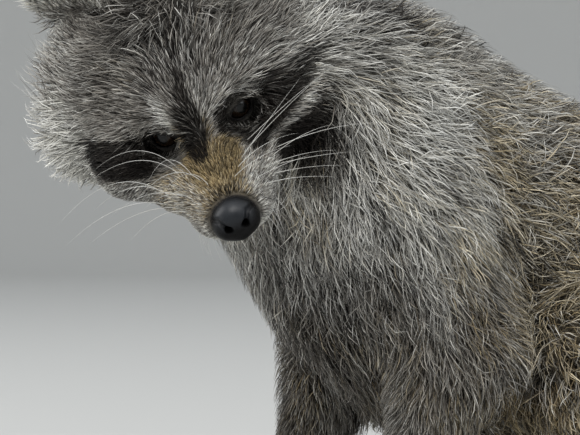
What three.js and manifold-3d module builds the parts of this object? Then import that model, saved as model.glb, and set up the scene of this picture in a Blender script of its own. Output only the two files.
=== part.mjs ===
// A life-size adult raccoon, sitting on its haunches with its forepaws planted,
// its head bowed and turned to its left.
//
// The flesh and coat are one smooth shape, written as a distance field: tapered
// limbs and ellipsoids that melt into each other. The field is turned into closed
// meshes, finer on the head than on the trunk, and these are parted with thin cuts
// into the pieces a person would name. Paws, ears, eyes, nose and claws are built
// from three.js geometries and fitted with small gaps.
//
// Three frames are used, all in millimetres:
//   world  X to the right and Z up, as seen from the animal's left and front
//   body   u forward along the trunk, v to the animal's left, w up from the floor
//   head   x to the animal's left, y to the back, z up, from midway between the eyes

import * as THREE from 'three';
import { mergeVertices } from 'three/addons/utils/BufferGeometryUtils.js';
import Module from 'manifold-3d';

const wasm = await Module();
wasm.setup();

// ---------------------------------------------------------------- dimensions

const GAP = 0.3;                       // between two pieces that meet
const SIDES = { left: 1, right: -1 };

const TRUNK_PLACE = [208, 205, 0];     // floor point under the hips
const TRUNK_TURN = 211;                // degrees from +X to the body's heading

const HEAD_PLACE = [-47, 0, 220];      // midway between the eyes
const HEAD_YAW = -5.4;                 // degrees, first about z
const HEAD_BOW = 35.5;                 // then about x: nose down
const HEAD_TILT = -24.9;               // then about y: left side up

const EYE_RADIUS = 8.6;
const EYE_CENTRE = [19.5, 7.6, -1.9];  // left eyeball, in the head's frame
const GAZE = [0.42, -0.87, 0.22];      // of the left eye
const LID_OPENING = [7.6, 6, 9];       // half width, half height, half depth
const ORBIT = { ahead: 17.5, radius: 12 };   // hollow before the eye, from its centre

const NOSE_CENTRE = [0, -50, -30];
const NOSE_SIZE = [12.4, 11.2, 11];    // half width, half depth, half height
const NOSTRIL_CENTRE = [6.6, -59, -29];
const NOSTRIL_SIZE = [2.6, 4, 2.2];
const JAW_LIMITS = [[-26, -66, -84], [26, 0, -42]];      // below the mouth

const EAR_BASE = [41, 77, 47];
const EAR_SIZE = { width: 20.5, height: 33, thick: 4.6, cup: 15 };
const EAR_LEAN = { out: -2, back: 8, turn: 34 };    // degrees

const HIP = [20, 52, 95];              // left leg joints, in the body's frame
const KNEE = [94, 84, 84];
const HEEL = [6, 88, 26];
const SHOULDER = [198, 50, 168];
const ELBOW = [170, 63, 96];
const WRIST = [207, 53, 22];

const SOLE_FLAT = 0.7;                 // pressed off each pad by the floor
const HAND = {
  place: [206, 53, 0], turn: 10, length: 34, halfWidth: 14.5, halfHeight: 8.5,
  digit: 27, fan: 15, radius: 4.7, wristHeight: 20, wristRadius: 12,
};
const FOOT = {
  place: [4, 88, 0], turn: 9, length: 68, halfWidth: 15.5, halfHeight: 11,
  digit: 24, fan: 9, radius: 5, wristHeight: 20, wristRadius: 14,
};
const CLAW = {
  length: 9, tipHeight: 2.2, rise: 2.6,
  profile: [[0, 0], [0, 1.9], [0.6, 1.4], [1, 0]],    // share of the length, radius
};

const TAIL_PATH = [[-66, 4, 66], [-112, 10, 44], [-146, 40, 34], [-158, 92, 33],
  [-146, 144, 31], [-118, 186, 24], [-92, 210, 16]];
const TAIL_RADII = [30, 34, 36, 35, 33, 26, 14];
const TAIL_CUTS = [0.28, 0.54, 0.8];         // along its length
const TAIL_ROOT = -88;                 // cut between rump and tail, along the body

const HEAD_LIMIT = { centre: [0, 10, 8], size: [118, 96, 82] };   // cut round the head
const NECK_LENGTH = 58;                // cut before the shoulders, from the skull
const CHEST_BACK = 128;                // cut behind the chest, along the body
const RUMP_FRONT = 40;                 // cut before the hips

// Left leg pieces are cut from the whole by these boxes in the body's frame.
const LEG_LIMITS = {
  upper_arm: [[141, 42, 92], [252, 150, 214]],
  forearm: [[141, 34, -5], [260, 150, 92]],
  thigh: [[-56, 52, 50], [141, 160, 168]],
  shank: [[-56, 52, -5], [141, 160, 50]],
};

// How wide the seams are over which shapes melt together.
const MELT = { orbit: 6, tail: 6, head: 8, face: 10, whole: 14, skull: 22, body: 26 };

// How far each mesh's grid reaches past the points it is laid round.
const MARGIN = { head: 125, arm: 66, hind: 80, tail: 56 };

const HEAD_CELL = 12;                // grids of the meshes
const TRUNK_CELL = 27;
const ARM_CELL = 18;
const THIGH_CELL = 23;
const SHANK_CELL = 15;
const TAIL_CELL = 20;

// -------------------------------------------------------------------- frames

const radians = THREE.MathUtils.degToRad;
const vector = (list) => new THREE.Vector3(...list);

// A matrix for a place and three turns in degrees, made about x, then y, then z.
function placed(place, x = 0, y = 0, z = 0) {
  const turn = new THREE.Euler(radians(x), radians(y), radians(z), 'ZYX');
  return new THREE.Matrix4().makeRotationFromEuler(turn).setPosition(...place);
}

const bodyFrame = placed(TRUNK_PLACE, 0, 0, TRUNK_TURN);

const headFrame = new THREE.Matrix4()
  .makeRotationY(radians(HEAD_TILT))
  .multiply(new THREE.Matrix4().makeRotationX(radians(HEAD_BOW)))
  .multiply(new THREE.Matrix4().makeRotationZ(radians(HEAD_YAW)))
  .setPosition(...HEAD_PLACE);

const inBody = (list) => vector(list).applyMatrix4(bodyFrame);
const inHead = (list) => vector(list).applyMatrix4(headFrame);
const mirrored = (list, side) => [list[0], list[1] * side, list[2]];   // body frame
const acrossHead = (list, side) => [list[0] * side, list[1], list[2]];

// A frame at a point whose z axis runs towards another point.
function aimed(from, to, up = new THREE.Vector3(0, 0, 1)) {
  const look = new THREE.Matrix4().lookAt(to, from, up);
  return look.setPosition(from);
}

// --------------------------------------------------------------- field shapes
// Each shape is a function that takes a point and gives its distance outside.

// A limb with round ends, from one point and radius to another.
function limb(from, to, startRadius, endRadius) {
  const axis = to.clone().sub(from);
  const lengthSquared = axis.lengthSq();
  const offset = new THREE.Vector3();
  return (point) => {
    offset.copy(point).sub(from);
    const along = THREE.MathUtils.clamp(offset.dot(axis) / lengthSquared, 0, 1);
    const away = offset.addScaledVector(axis, -along).length();
    return away - THREE.MathUtils.lerp(startRadius, endRadius, along);
  };
}

// An ellipsoid with its axes along those of a frame.
function ellipsoid(frame, centre, radii) {
  const back = frame.clone().multiply(placed(centre)).invert();
  const local = new THREE.Vector3();
  const scaled = new THREE.Vector3();
  const size = vector(radii);
  return (point) => {
    local.copy(point).applyMatrix4(back);
    const reach = scaled.copy(local).divide(size).length();
    const slope = scaled.divide(size).length();
    return slope > 0 ? reach * (reach - 1) / slope : -Math.min(...radii);
  };
}

function smoothMin(a, b, width) {
  const near = Math.max(width - Math.abs(a - b), 0) / width;
  return Math.min(a, b) - near * near * width / 4;
}

// Shapes melted together over a seam of the given width.
function melted(width, shapes) {
  return (point) => {
    let nearest = Infinity;
    for (const shape of shapes) {
      nearest = smoothMin(nearest, shape(point), width);
    }
    return nearest;
  };
}

// A shape with others taken out of it, with edges rounded over the given width.
function hollowed(width, hollows, shape) {
  return (point) => {
    let inside = -shape(point);
    for (const hollow of hollows) {
      inside = smoothMin(inside, hollow(point), width);
    }
    return -inside;
  };
}

const bothSides = (make) => Object.values(SIDES).map(make);

// -------------------------------------------------------------- field: trunk

const trunkShapes = [
  ellipsoid(bodyFrame, [6, 0, 92], [92, 86, 97]),          // rump
  ellipsoid(bodyFrame, [74, 0, 142], [98, 86, 92]),        // loin
  ellipsoid(bodyFrame, [128, 0, 172], [84, 76, 88]),       // back
  ellipsoid(bodyFrame, [112, 0, 96], [90, 74, 66]),        // belly
  ellipsoid(bodyFrame, [184, 0, 162], [76, 72, 90]),       // chest
  ellipsoid(bodyFrame, [182, 0, 221], [74, 61, 71]),       // withers
];

const NECK_START = inHead([0, 62, -8]);
const NECK_END = inBody([206, 0, 206]);
const neckShape = limb(NECK_START, NECK_END, 64, 81);

const legShapes = bothSides((side) => {
  const at = (list) => inBody(mirrored(list, side));
  return {
    upperArm: limb(at(SHOULDER), at(ELBOW), 45, 31),
    forearm: limb(at(ELBOW), at(WRIST), 28, 14.5),
    thigh: limb(at(HIP), at(KNEE), 62, 44),
    shank: limb(at(KNEE), at(HEEL), 36, 19),
  };
});

// --------------------------------------------------------------- field: head

const skullShapes = [
  ellipsoid(headFrame, [0, 51, 4], [61, 55, 45]),          // braincase
  ellipsoid(headFrame, [0, 20, 8], [36, 26, 22]),          // forehead
  ellipsoid(headFrame, [0, 44, -38], [52, 46, 30]),        // throat
];

const faceShapes = [
  limb(inHead([0, 4, -9]), inHead([0, -38, -30]), 20, 13),        // bridge
  limb(inHead([0, 6, -36]), inHead([0, -34, -46]), 21, 8.6),      // lower jaw
];

function sideOfFace(side) {
  const at = (list) => acrossHead(list, side);
  return [
    ellipsoid(headFrame, at([35, 30, -16]), [37, 40, 30]),        // cheek
    ellipsoid(headFrame, at([20, 2, -24]), [22, 34, 18]),         // under the eye
    ellipsoid(headFrame, at([20, 13, 13]), [17, 16, 11]),         // brow
    ellipsoid(headFrame, at([10, -33, -33]), [14, 18, 12.5]),     // whisker pad
  ];
}

function sideOfHead(side) {
  const at = (list) => acrossHead(list, side);
  return [
    ellipsoid(headFrame, at([56, 54, -13]), [42, 34, 45]),        // ruff
    ellipsoid(headFrame, at([43, 66, 18]), [34, 30, 32]),         // temple
  ];
}

const eyeFrames = Object.fromEntries(Object.entries(SIDES).map(([name, side]) => {
  const gaze = vector(acrossHead(GAZE, side)).normalize();
  const centre = vector(acrossHead(EYE_CENTRE, side));
  const ahead = centre.clone().add(gaze);
  return [name, aimed(inHead(centre.toArray()), inHead(ahead.toArray()))];
}));

const orbits = Object.values(eyeFrames).map((frame) => (
  ellipsoid(frame, [0, 0, ORBIT.ahead], [ORBIT.radius, ORBIT.radius, ORBIT.radius])
));

const headField = hollowed(MELT.orbit, orbits, melted(MELT.head, [
  melted(MELT.skull, [...skullShapes, ...bothSides(sideOfHead).flat()]),
  melted(MELT.face, [...faceShapes, ...bothSides(sideOfFace).flat()]),
]));

// --------------------------------------------------------------- field: tail

const tailCurve = new THREE.CatmullRomCurve3(TAIL_PATH.map(inBody));
const TAIL_STEPS = 18;

function tailRadius(along) {
  const place = along * (TAIL_RADII.length - 1);
  const before = Math.min(Math.floor(place), TAIL_RADII.length - 2);
  return THREE.MathUtils.lerp(TAIL_RADII[before], TAIL_RADII[before + 1], place - before);
}

const tailLengths = Array.from({ length: TAIL_STEPS }, (unused, step) => {
  const from = step / TAIL_STEPS;
  const to = (step + 1) / TAIL_STEPS;
  return limb(tailCurve.getPoint(from), tailCurve.getPoint(to), tailRadius(from), tailRadius(to));
});
const tailField = melted(MELT.tail, tailLengths);

const bodyField = melted(MELT.body, [
  ...trunkShapes, neckShape, ...legShapes.flatMap((leg) => Object.values(leg)),
]);
const raccoon = melted(MELT.whole, [headField, bodyField, tailField]);

// ------------------------------------------------------------ field to mesh

const CORNERS = [[0, 0, 0], [1, 0, 0], [0, 1, 0], [1, 1, 0],
  [0, 0, 1], [1, 0, 1], [0, 1, 1], [1, 1, 1]];
const CELL_EDGES = [[0, 1], [2, 3], [4, 5], [6, 7], [0, 2], [1, 3], [4, 6], [5, 7],
  [0, 4], [1, 5], [2, 6], [3, 7]];

// The field's zero surface inside a box, as a closed mesh: one vertex in each grid
// cell that the surface crosses, and one quad round each grid edge that it crosses.
// The outermost grid points count as outside, which closes the mesh there.
function skinOf(field, low, high, cell) {
  const counts = low.map((start, axis) => Math.ceil((high[axis] - start) / cell) + 1);
  const stride = [1, counts[0], counts[0] * counts[1]];
  const values = new Float64Array(counts[0] * counts[1] * counts[2]);
  const point = new THREE.Vector3();
  const onRim = (i, j, k) => [i, j, k].some((n, axis) => n === 0 || n === counts[axis] - 1);

  for (let k = 0; k < counts[2]; k += 1) {
    for (let j = 0; j < counts[1]; j += 1) {
      for (let i = 0; i < counts[0]; i += 1) {
        point.set(low[0] + i * cell, low[1] + j * cell, low[2] + k * cell);
        const here = field(point);
        values[i + j * stride[1] + k * stride[2]] = onRim(i, j, k) ? Math.max(here, cell / 2) : here;
      }
    }
  }

  const positions = [];
  const vertexOf = new Map();
  for (let k = 0; k < counts[2] - 1; k += 1) {
    for (let j = 0; j < counts[1] - 1; j += 1) {
      for (let i = 0; i < counts[0] - 1; i += 1) {
        const base = i + j * stride[1] + k * stride[2];
        const corner = CORNERS.map(([a, b, c]) => values[base + a + b * stride[1] + c * stride[2]]);
        const crossed = CELL_EDGES.filter(([a, b]) => (corner[a] < 0) !== (corner[b] < 0));
        if (crossed.length > 0) {
          point.set(0, 0, 0);
          for (const [a, b] of crossed) {
            const share = corner[a] / (corner[a] - corner[b]);
            point.add(vector(CORNERS[a]).lerp(vector(CORNERS[b]), share));
          }
          point.divideScalar(crossed.length).add(new THREE.Vector3(i, j, k)).multiplyScalar(cell);
          point.add(vector(low));
          const rim = onRim(i, j, k) || onRim(i + 1, j + 1, k + 1);
          if (!rim) {
            settle(point, field, cell);
          }
          vertexOf.set(base, positions.length / 3);
          positions.push(point.x, point.y, point.z);
        }
      }
    }
  }

  const triangles = [];
  const addQuad = (quad, flipped) => {
    const corners = quad.map((base) => vertexOf.get(base));
    const [a, b, c, d] = flipped ? corners.reverse() : corners;
    const at = (n) => vector(positions.slice(n * 3, n * 3 + 3));
    if (at(a).distanceTo(at(c)) < at(b).distanceTo(at(d))) {
      triangles.push(a, b, c, a, c, d);
    } else {
      triangles.push(b, c, d, b, d, a);
    }
  };
  for (let k = 0; k < counts[2] - 1; k += 1) {
    for (let j = 0; j < counts[1] - 1; j += 1) {
      for (let i = 0; i < counts[0] - 1; i += 1) {
        const base = i + j * stride[1] + k * stride[2];
        for (let axis = 0; axis < 3; axis += 1) {
          const next = base + stride[axis];
          const inside = values[base] < 0;
          if (inside !== (values[next] < 0)) {
            const u = stride[(axis + 1) % 3];
            const v = stride[(axis + 2) % 3];
            addQuad([base, base - u, base - u - v, base - v], inside !== true);
          }
        }
      }
    }
  }

  const geometry = new THREE.BufferGeometry();
  geometry.setAttribute('position', new THREE.Float32BufferAttribute(positions, 3));
  geometry.setIndex(triangles);
  return geometry;
}

// Moves a point onto the field's zero surface, but no further than half a cell.
function settle(point, field, cell) {
  const start = point.clone();
  const step = 0.05;
  const slope = new THREE.Vector3();
  for (let round = 0; round < 3; round += 1) {
    const here = field(point);
    slope.set(
      field(point.clone().add(new THREE.Vector3(step, 0, 0))) - here,
      field(point.clone().add(new THREE.Vector3(0, step, 0))) - here,
      field(point.clone().add(new THREE.Vector3(0, 0, step))) - here,
    ).divideScalar(step);
    point.addScaledVector(slope, -here / Math.max(slope.lengthSq(), 0.25));
  }
  const moved = point.clone().sub(start).clampLength(0, cell / 2);
  point.copy(start).add(moved);
}

// ------------------------------------------------------------ solids and cuts

function solidOf(geometry, matrix = new THREE.Matrix4()) {
  const bare = geometry.clone().applyMatrix4(matrix);
  bare.deleteAttribute('normal');
  bare.deleteAttribute('uv');
  const merged = mergeVertices(bare, 1e-4);
  const corners = Array.from(merged.index.array);
  const triVerts = [];
  for (let n = 0; n < corners.length; n += 3) {
    const [a, b, c] = corners.slice(n, n + 3);
    if (a !== b && b !== c && c !== a) {
      triVerts.push(a, b, c);
    }
  }
  return new wasm.Manifold(new wasm.Mesh({
    numProp: 3,
    vertProperties: Float32Array.from(merged.getAttribute('position').array),
    triVerts: Uint32Array.from(triVerts),
  }));
}

function geometryOf(solid) {
  const mesh = solid.getMesh();
  const geometry = new THREE.BufferGeometry();
  geometry.setAttribute('position', new THREE.Float32BufferAttribute(mesh.vertProperties, 3));
  geometry.setIndex(Array.from(mesh.triVerts));
  return geometry;
}

const joined = (solids) => solids.reduce((whole, solid) => whole.add(solid));

// A solid without what others take up; only its largest body is kept, not slivers.
function clearOf(solid, others) {
  const rest = others.reduce((left, other) => left.subtract(other), solid);
  return rest.decompose().sort((a, b) => b.volume() - a.volume())[0];
}

// A box that cuts, given in a frame by its lowest and highest corners.
function block(frame, low, high, grow = 0) {
  const centre = low.map((start, axis) => (start + high[axis]) / 2);
  const size = low.map((start, axis) => high[axis] - start + 2 * grow);
  return solidOf(new THREE.BoxGeometry(...size), frame.clone().multiply(placed(centre)));
}

// The same box with the gap added on every side, for what lies outside it.
const blockAround = (frame, low, high) => block(frame, low, high, GAP);

// A field's mesh, with a copy a gap larger to part it from its neighbours.
function bodyOf(field, [low, high], cell) {
  return {
    solid: solidOf(skinOf(field, low, high, cell)),
    around: solidOf(skinOf((point) => field(point) - 2 * GAP, low, high, cell)),
  };
}

// The box round some points in world axes, padded on every side.
function boxRound(points, margin) {
  const box = new THREE.Box3().setFromPoints(points).expandByScalar(margin);
  return [box.min.toArray(), box.max.toArray()];
}

// A lathed limb with a blunt start and a round end, for digits and wrists.
function limbSolid(from, to, startRadius, endRadius, sides) {
  const length = from.distanceTo(to);
  const shoulder = endRadius * Math.SQRT1_2;
  const profile = [
    [0, -startRadius * 0.7], [startRadius, 0], [endRadius, length],
    [shoulder, length + shoulder], [0, length + endRadius],
  ];
  const lathe = new THREE.LatheGeometry(profile.map((pair) => new THREE.Vector2(...pair)), sides);
  lathe.rotateX(Math.PI / 2);
  return solidOf(lathe, aimed(from, to));
}

function ellipsoidSolid(frame, centre, radii, sides, rings) {
  const ball = new THREE.SphereGeometry(1, sides, rings);
  ball.scale(...radii);
  return solidOf(ball, frame.clone().multiply(placed(centre)));
}

const pieces = [];

function keep(name, solid, colour, roughness = 1) {
  pieces.push({ name, solid, colour, roughness });
}

const aboveFloor = block(new THREE.Matrix4(), [-600, -600, 0], [900, 900, 700]);

// --------------------------------------------------------------- part: head

const headBox = boxRound([inHead([0, 20, 5])], MARGIN.head);
const headMesh = bodyOf(raccoon, headBox, HEAD_CELL);

const headLimit = (grow) => (
  ellipsoidSolid(headFrame, HEAD_LIMIT.centre, HEAD_LIMIT.size.map((n) => n + grow), 16, 10)
);

function eyeball(name, grow) {
  const radius = EYE_RADIUS + grow;
  return ellipsoidSolid(eyeFrames[name], [0, 0, 0], [radius, radius, radius], 10, 7);
}

// The opening between the lids, which shows the front of the eye.
function lidOpening(name) {
  return ellipsoidSolid(eyeFrames[name], [0, 0, EYE_RADIUS], LID_OPENING, 8, 5);
}

function nosePad(grow) {
  const pad = ellipsoidSolid(headFrame, NOSE_CENTRE, NOSE_SIZE.map((n) => n + grow), 11, 7);
  if (grow > 0) {
    return pad;
  }
  const nostrils = Object.values(SIDES).map((side) => (
    ellipsoidSolid(headFrame, acrossHead(NOSTRIL_CENTRE, side), NOSTRIL_SIZE, 5, 4)
  ));
  return clearOf(pad, nostrils);
}

const eyes = Object.keys(SIDES);
const facePieces = [
  nosePad(GAP), ...eyes.map((name) => eyeball(name, GAP)), ...eyes.map(lidOpening),
];
const headWhole = headMesh.solid.intersect(headLimit(0));
keep('head', clearOf(headWhole, [...facePieces, blockAround(headFrame, ...JAW_LIMITS)]), 'coat');
keep('lower_jaw', clearOf(headWhole.intersect(block(headFrame, ...JAW_LIMITS)), facePieces), 'pale');
keep('nose', nosePad(0), 'leather', 0.35);

// An ear is a ball flattened into a leaf, and cupped so that its rim comes forward.
function earGeometry() {
  const leaf = new THREE.SphereGeometry(1, 10, 8);
  leaf.rotateX(Math.PI / 2);
  const spot = leaf.getAttribute('position');
  for (let n = 0; n < spot.count; n += 1) {
    const [x, y, z] = [spot.getX(n), spot.getY(n), spot.getZ(n)];
    const cup = EAR_SIZE.cup * (x * x + 0.4 * Math.max(z, 0) ** 2);
    const across = EAR_SIZE.width * x * (1 + 0.5 * Math.max(-z, 0));
    spot.setXYZ(n, across, EAR_SIZE.thick * y - cup, EAR_SIZE.height * (z + 0.6));
  }
  return leaf;
}

for (const [name, side] of Object.entries(SIDES)) {
  keep(`eye_${name}`, eyeball(name, 0), 'eye', 0.05);
  const frame = headFrame.clone()
    .multiply(placed(acrossHead(EAR_BASE, side), -EAR_LEAN.back, EAR_LEAN.out * side, 0))
    .multiply(placed([0, 0, 0], 0, 0, EAR_LEAN.turn * side));
  keep(`ear_${name}`, clearOf(solidOf(earGeometry(), frame), [headMesh.around]), 'pale');
}

// --------------------------------------------------------------- part: paws

// A paw's frame runs forward along the sole from under the wrist or heel.
function digitsOf(paw) {
  return [-2, -1, 0, 1, 2].map((place) => {
    const angle = radians(paw.fan * place);
    const reach = paw.digit * (1 - 0.05 * place * place);
    const start = paw.length - 3 - 2.2 * place * place;
    const root = [start, place * paw.halfWidth * 0.42, paw.halfHeight * 0.75];
    const low = paw.radius * 0.86 - SOLE_FLAT;
    const tip = [root[0] + reach * Math.cos(angle), root[1] + reach * Math.sin(angle), low];
    return { root, tip, angle };
  });
}

// The palm or sole with its wrist or ankle, which the leg's end fits round.
function palmSolid(frame, paw, grow) {
  const at = (list) => vector(list).applyMatrix4(frame);
  const middle = [paw.length / 2, 0, paw.halfHeight - SOLE_FLAT];
  const halves = [paw.length / 2 + 8, paw.halfWidth, paw.halfHeight].map((n) => n + grow);
  const palm = ellipsoidSolid(frame, middle, halves, 8, 5);
  const wristStart = at([-2, 0, paw.wristHeight]);
  const wristEnd = at([paw.length * 0.4, 0, paw.halfHeight]);
  const wrist = limbSolid(wristStart, wristEnd, paw.wristRadius + grow, paw.halfHeight + grow, 6);
  return palm.add(wrist);
}

// A claw is a cone that starts just clear of its toe and bends down to its point.
function clawSolid(frame, paw, { tip, angle }) {
  const start = paw.radius * 0.86 + GAP;
  const profile = CLAW.profile.map(([along, radius]) => (
    new THREE.Vector2(radius, start + along * CLAW.length)
  ));
  const cone = new THREE.LatheGeometry(profile, 5);
  cone.rotateZ(-Math.PI / 2);
  const corners = cone.getAttribute('position');
  for (let n = 0; n < corners.count; n += 1) {
    const along = (corners.getX(n) - start) / CLAW.length;
    corners.setZ(n, corners.getZ(n) + CLAW.rise * (1 - along * along));
  }
  const place = placed([tip[0], tip[1], CLAW.tipHeight], 0, 0, THREE.MathUtils.radToDeg(angle));
  return solidOf(cone, frame.clone().multiply(place));
}

const pawFrame = (paw, side) => (
  bodyFrame.clone().multiply(placed(mirrored(paw.place, side), 0, 0, paw.turn * side))
);

function addPaw(name, side, paw) {
  const frame = pawFrame(paw, side);
  const at = (list) => vector(list).applyMatrix4(frame);
  const digits = digitsOf(paw);
  const fingers = digits.map(({ root, tip }) => (
    limbSolid(at(root), at(tip), paw.radius * 1.12, paw.radius * 0.86, 4)
  ));
  keep(name, joined([palmSolid(frame, paw, 0), ...fingers]).intersect(aboveFloor), 'leather');
  digits.forEach((digit, n) => {
    keep(`${name}_claw_${n + 1}`, clawSolid(frame, paw, digit), 'claw', 0.4);
  });
}

// --------------------------------------------------------------- part: legs

const across = ([low, high], side) => (
  side > 0 ? [low, high] : [[low[0], -high[1], low[2]], [high[0], -low[1], high[2]]]
);

const cutters = [headLimit(2 * GAP)];

for (const [name, side] of Object.entries(SIDES)) {
  const at = (list) => inBody(mirrored(list, side));
  const armBox = boxRound([SHOULDER, ELBOW, WRIST].map(at), MARGIN.arm);
  const hindBox = boxRound([HIP, KNEE, HEEL].map(at), MARGIN.hind);
  const arm = solidOf(skinOf(raccoon, ...armBox, ARM_CELL)).intersect(aboveFloor);
  const thigh = solidOf(skinOf(raccoon, ...hindBox, THIGH_CELL)).intersect(aboveFloor);
  const shank = solidOf(skinOf(raccoon, ...hindBox, SHANK_CELL)).intersect(aboveFloor);
  const sources = { upper_arm: arm, forearm: arm, thigh, shank };
  const paws = [HAND, FOOT].map((paw) => palmSolid(pawFrame(paw, side), paw, GAP));
  for (const [part, limits] of Object.entries(LEG_LIMITS)) {
    const sided = across(limits, side);
    const piece = sources[part].intersect(block(bodyFrame, ...sided, -GAP / 2));
    keep(`${part}_${name}`, clearOf(piece, [headLimit(2 * GAP), ...paws]), 'coat');
    cutters.push(blockAround(bodyFrame, ...sided));
  }
  addPaw(`hand_${name}`, side, HAND);
  addPaw(`foot_${name}`, side, FOOT);
}

// --------------------------------------------------------------- part: tail

const tailLimits = [[-400, -300, -5], [TAIL_ROOT, 300, 200]];
cutters.push(blockAround(bodyFrame, ...tailLimits));

const tailBox = boxRound(TAIL_PATH.map(inBody), MARGIN.tail);
let tailLeft = solidOf(skinOf(raccoon, ...tailBox, TAIL_CELL)).intersect(aboveFloor);
tailLeft = clearOf(tailLeft.intersect(block(bodyFrame, ...tailLimits)), []);
const tailReach = [[-70, -70, 0], [70, 70, 260]];
for (let n = TAIL_CUTS.length; n > 0; n -= 1) {
  const place = tailCurve.getPointAt(TAIL_CUTS[n - 1]);
  const frame = aimed(place, place.clone().add(tailCurve.getTangentAt(TAIL_CUTS[n - 1])));
  const piece = clearOf(tailLeft.intersect(block(frame, ...tailReach)), []);
  keep(`tail_${n + 1}`, piece, n % 2 ? 'dark' : 'coat');
  tailLeft = clearOf(tailLeft, [blockAround(frame, ...tailReach)]);
}
keep('tail_1', tailLeft, 'coat');

// -------------------------------------------------------------- part: trunk

const trunkBox = [[-40, -20, -20], [330, 340, 330]];
const trunkMesh = solidOf(skinOf(raccoon, ...trunkBox, TRUNK_CELL)).intersect(aboveFloor);
const trunk = clearOf(trunkMesh, cutters);

const neckLimits = [[-120, -120, -90], [120, 120, NECK_LENGTH]];
const chestLimits = [[CHEST_BACK, -140, -10], [340, 140, 340]];
const rumpLimits = [[-140, -140, -10], [RUMP_FRONT, 140, 340]];
const neckFrame = aimed(NECK_START, NECK_END);

const notNeck = [blockAround(neckFrame, ...neckLimits)];
const notChest = [...notNeck, blockAround(bodyFrame, ...chestLimits)];
keep('neck', clearOf(trunk.intersect(block(neckFrame, ...neckLimits)), []), 'coat');
keep('chest', clearOf(trunk.intersect(block(bodyFrame, ...chestLimits)), notNeck), 'coat');
keep('rump', clearOf(trunk.intersect(block(bodyFrame, ...rumpLimits)), notChest), 'coat');
keep('belly', clearOf(trunk, [...notChest, blockAround(bodyFrame, ...rumpLimits)]), 'coat');

// ------------------------------------------------------------------- display

const COLOURS = {
  coat: '#857c70', pale: '#c9c1b2', dark: '#2c2724', leather: '#23201f', eye: '#0b0a0a', claw: '#3a322c',
};

const model = new THREE.Group();
const shown = new THREE.Group();
model.add(shown);

for (const { name, solid, colour, roughness } of pieces) {
  const material = new THREE.MeshStandardMaterial({ color: COLOURS[colour], roughness, metalness: 0 });
  const mesh = new THREE.Mesh(geometryOf(solid), material);
  mesh.name = name;
  shown.add(mesh);
}

const bounds = new THREE.Box3().setFromObject(model);
const footprint = bounds.getCenter(new THREE.Vector3());
shown.position.set(-footprint.x, -footprint.y, -bounds.min.z);

export default model;
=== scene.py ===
# %% [markdown]
# # A sitting raccoon, life size
#
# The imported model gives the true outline, out to the tips of the coat. Here the
# animal gets its skin, its coat of tufts, eyes, nose, whiskers and claws, and a
# plain studio round it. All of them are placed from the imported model's own frame.

import math

import bpy
import numpy as np
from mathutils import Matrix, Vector, kdtree


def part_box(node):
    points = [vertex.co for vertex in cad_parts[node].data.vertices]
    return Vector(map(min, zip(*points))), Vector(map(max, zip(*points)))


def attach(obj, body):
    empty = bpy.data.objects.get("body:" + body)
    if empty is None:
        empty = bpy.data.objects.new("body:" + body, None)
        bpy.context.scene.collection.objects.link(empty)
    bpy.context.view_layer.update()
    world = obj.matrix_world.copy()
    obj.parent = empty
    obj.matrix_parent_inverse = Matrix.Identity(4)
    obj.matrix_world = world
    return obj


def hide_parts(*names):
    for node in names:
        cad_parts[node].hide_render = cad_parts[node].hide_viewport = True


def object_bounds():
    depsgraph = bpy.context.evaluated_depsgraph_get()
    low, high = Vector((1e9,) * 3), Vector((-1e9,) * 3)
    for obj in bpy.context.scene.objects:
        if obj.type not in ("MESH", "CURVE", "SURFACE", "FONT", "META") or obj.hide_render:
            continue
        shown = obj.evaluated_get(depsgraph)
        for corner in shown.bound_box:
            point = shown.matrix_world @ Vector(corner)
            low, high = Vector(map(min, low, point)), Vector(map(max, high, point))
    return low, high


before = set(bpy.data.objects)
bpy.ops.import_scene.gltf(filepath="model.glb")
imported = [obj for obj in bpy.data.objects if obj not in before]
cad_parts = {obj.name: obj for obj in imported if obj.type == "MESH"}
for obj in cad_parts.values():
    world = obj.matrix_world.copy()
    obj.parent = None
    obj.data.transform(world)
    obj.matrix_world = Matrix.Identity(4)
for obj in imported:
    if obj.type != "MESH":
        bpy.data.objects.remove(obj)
cad_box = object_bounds()
print("packed model from", [round(v, 3) for v in cad_box[0]], "to", [round(v, 3) for v in cad_box[1]])

# %% [markdown]
# ## Frames
#
# The shapes are written in millimetres in three frames. The pose frame has Z up.
# The body frame has u forward along the trunk, v to the animal's left and w up. The
# head frame has x to the animal's left, y to the back and z up, from midway between
# the eyes. The head is bowed, tilted and turned, so formulas for the face are far
# simpler in its own frame than in the world's.

# %% Frames
MM = 0.001
FOOTPRINT = np.array([-147.676, -133.520, 0.0])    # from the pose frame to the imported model's
LEFT, RIGHT = 1, -1
SIDES = {"left": LEFT, "right": RIGHT}


def turn(axis, degrees):
    c, s = math.cos(math.radians(degrees)), math.sin(math.radians(degrees))
    rows = {
        "x": [[1, 0, 0], [0, c, -s], [0, s, c]],
        "y": [[c, 0, s], [0, 1, 0], [-s, 0, c]],
        "z": [[c, -s, 0], [s, c, 0], [0, 0, 1]],
    }
    return np.array(rows[axis], float)


class Place:
    """A frame: its axes are the columns of turned, and its origin is a point."""

    def __init__(self, turned, origin):
        self.turned = np.asarray(turned, float)
        self.origin = np.asarray(origin, float)

    def out(self, points):
        return np.asarray(points, float) @ self.turned.T + self.origin

    def into(self, points):
        return (points - self.origin) @ self.turned

    def way(self, directions):
        return np.asarray(directions, float) @ self.turned.T


OWN = Place(np.eye(3), [0, 0, 0])    # for points that are already in the frame wanted
BODY = Place(turn("z", 211), [208, 205, 0])
HEAD = Place(turn("y", -24.9) @ turn("x", 35.5) @ turn("z", -5.4), [-47, 0, 220])

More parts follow.
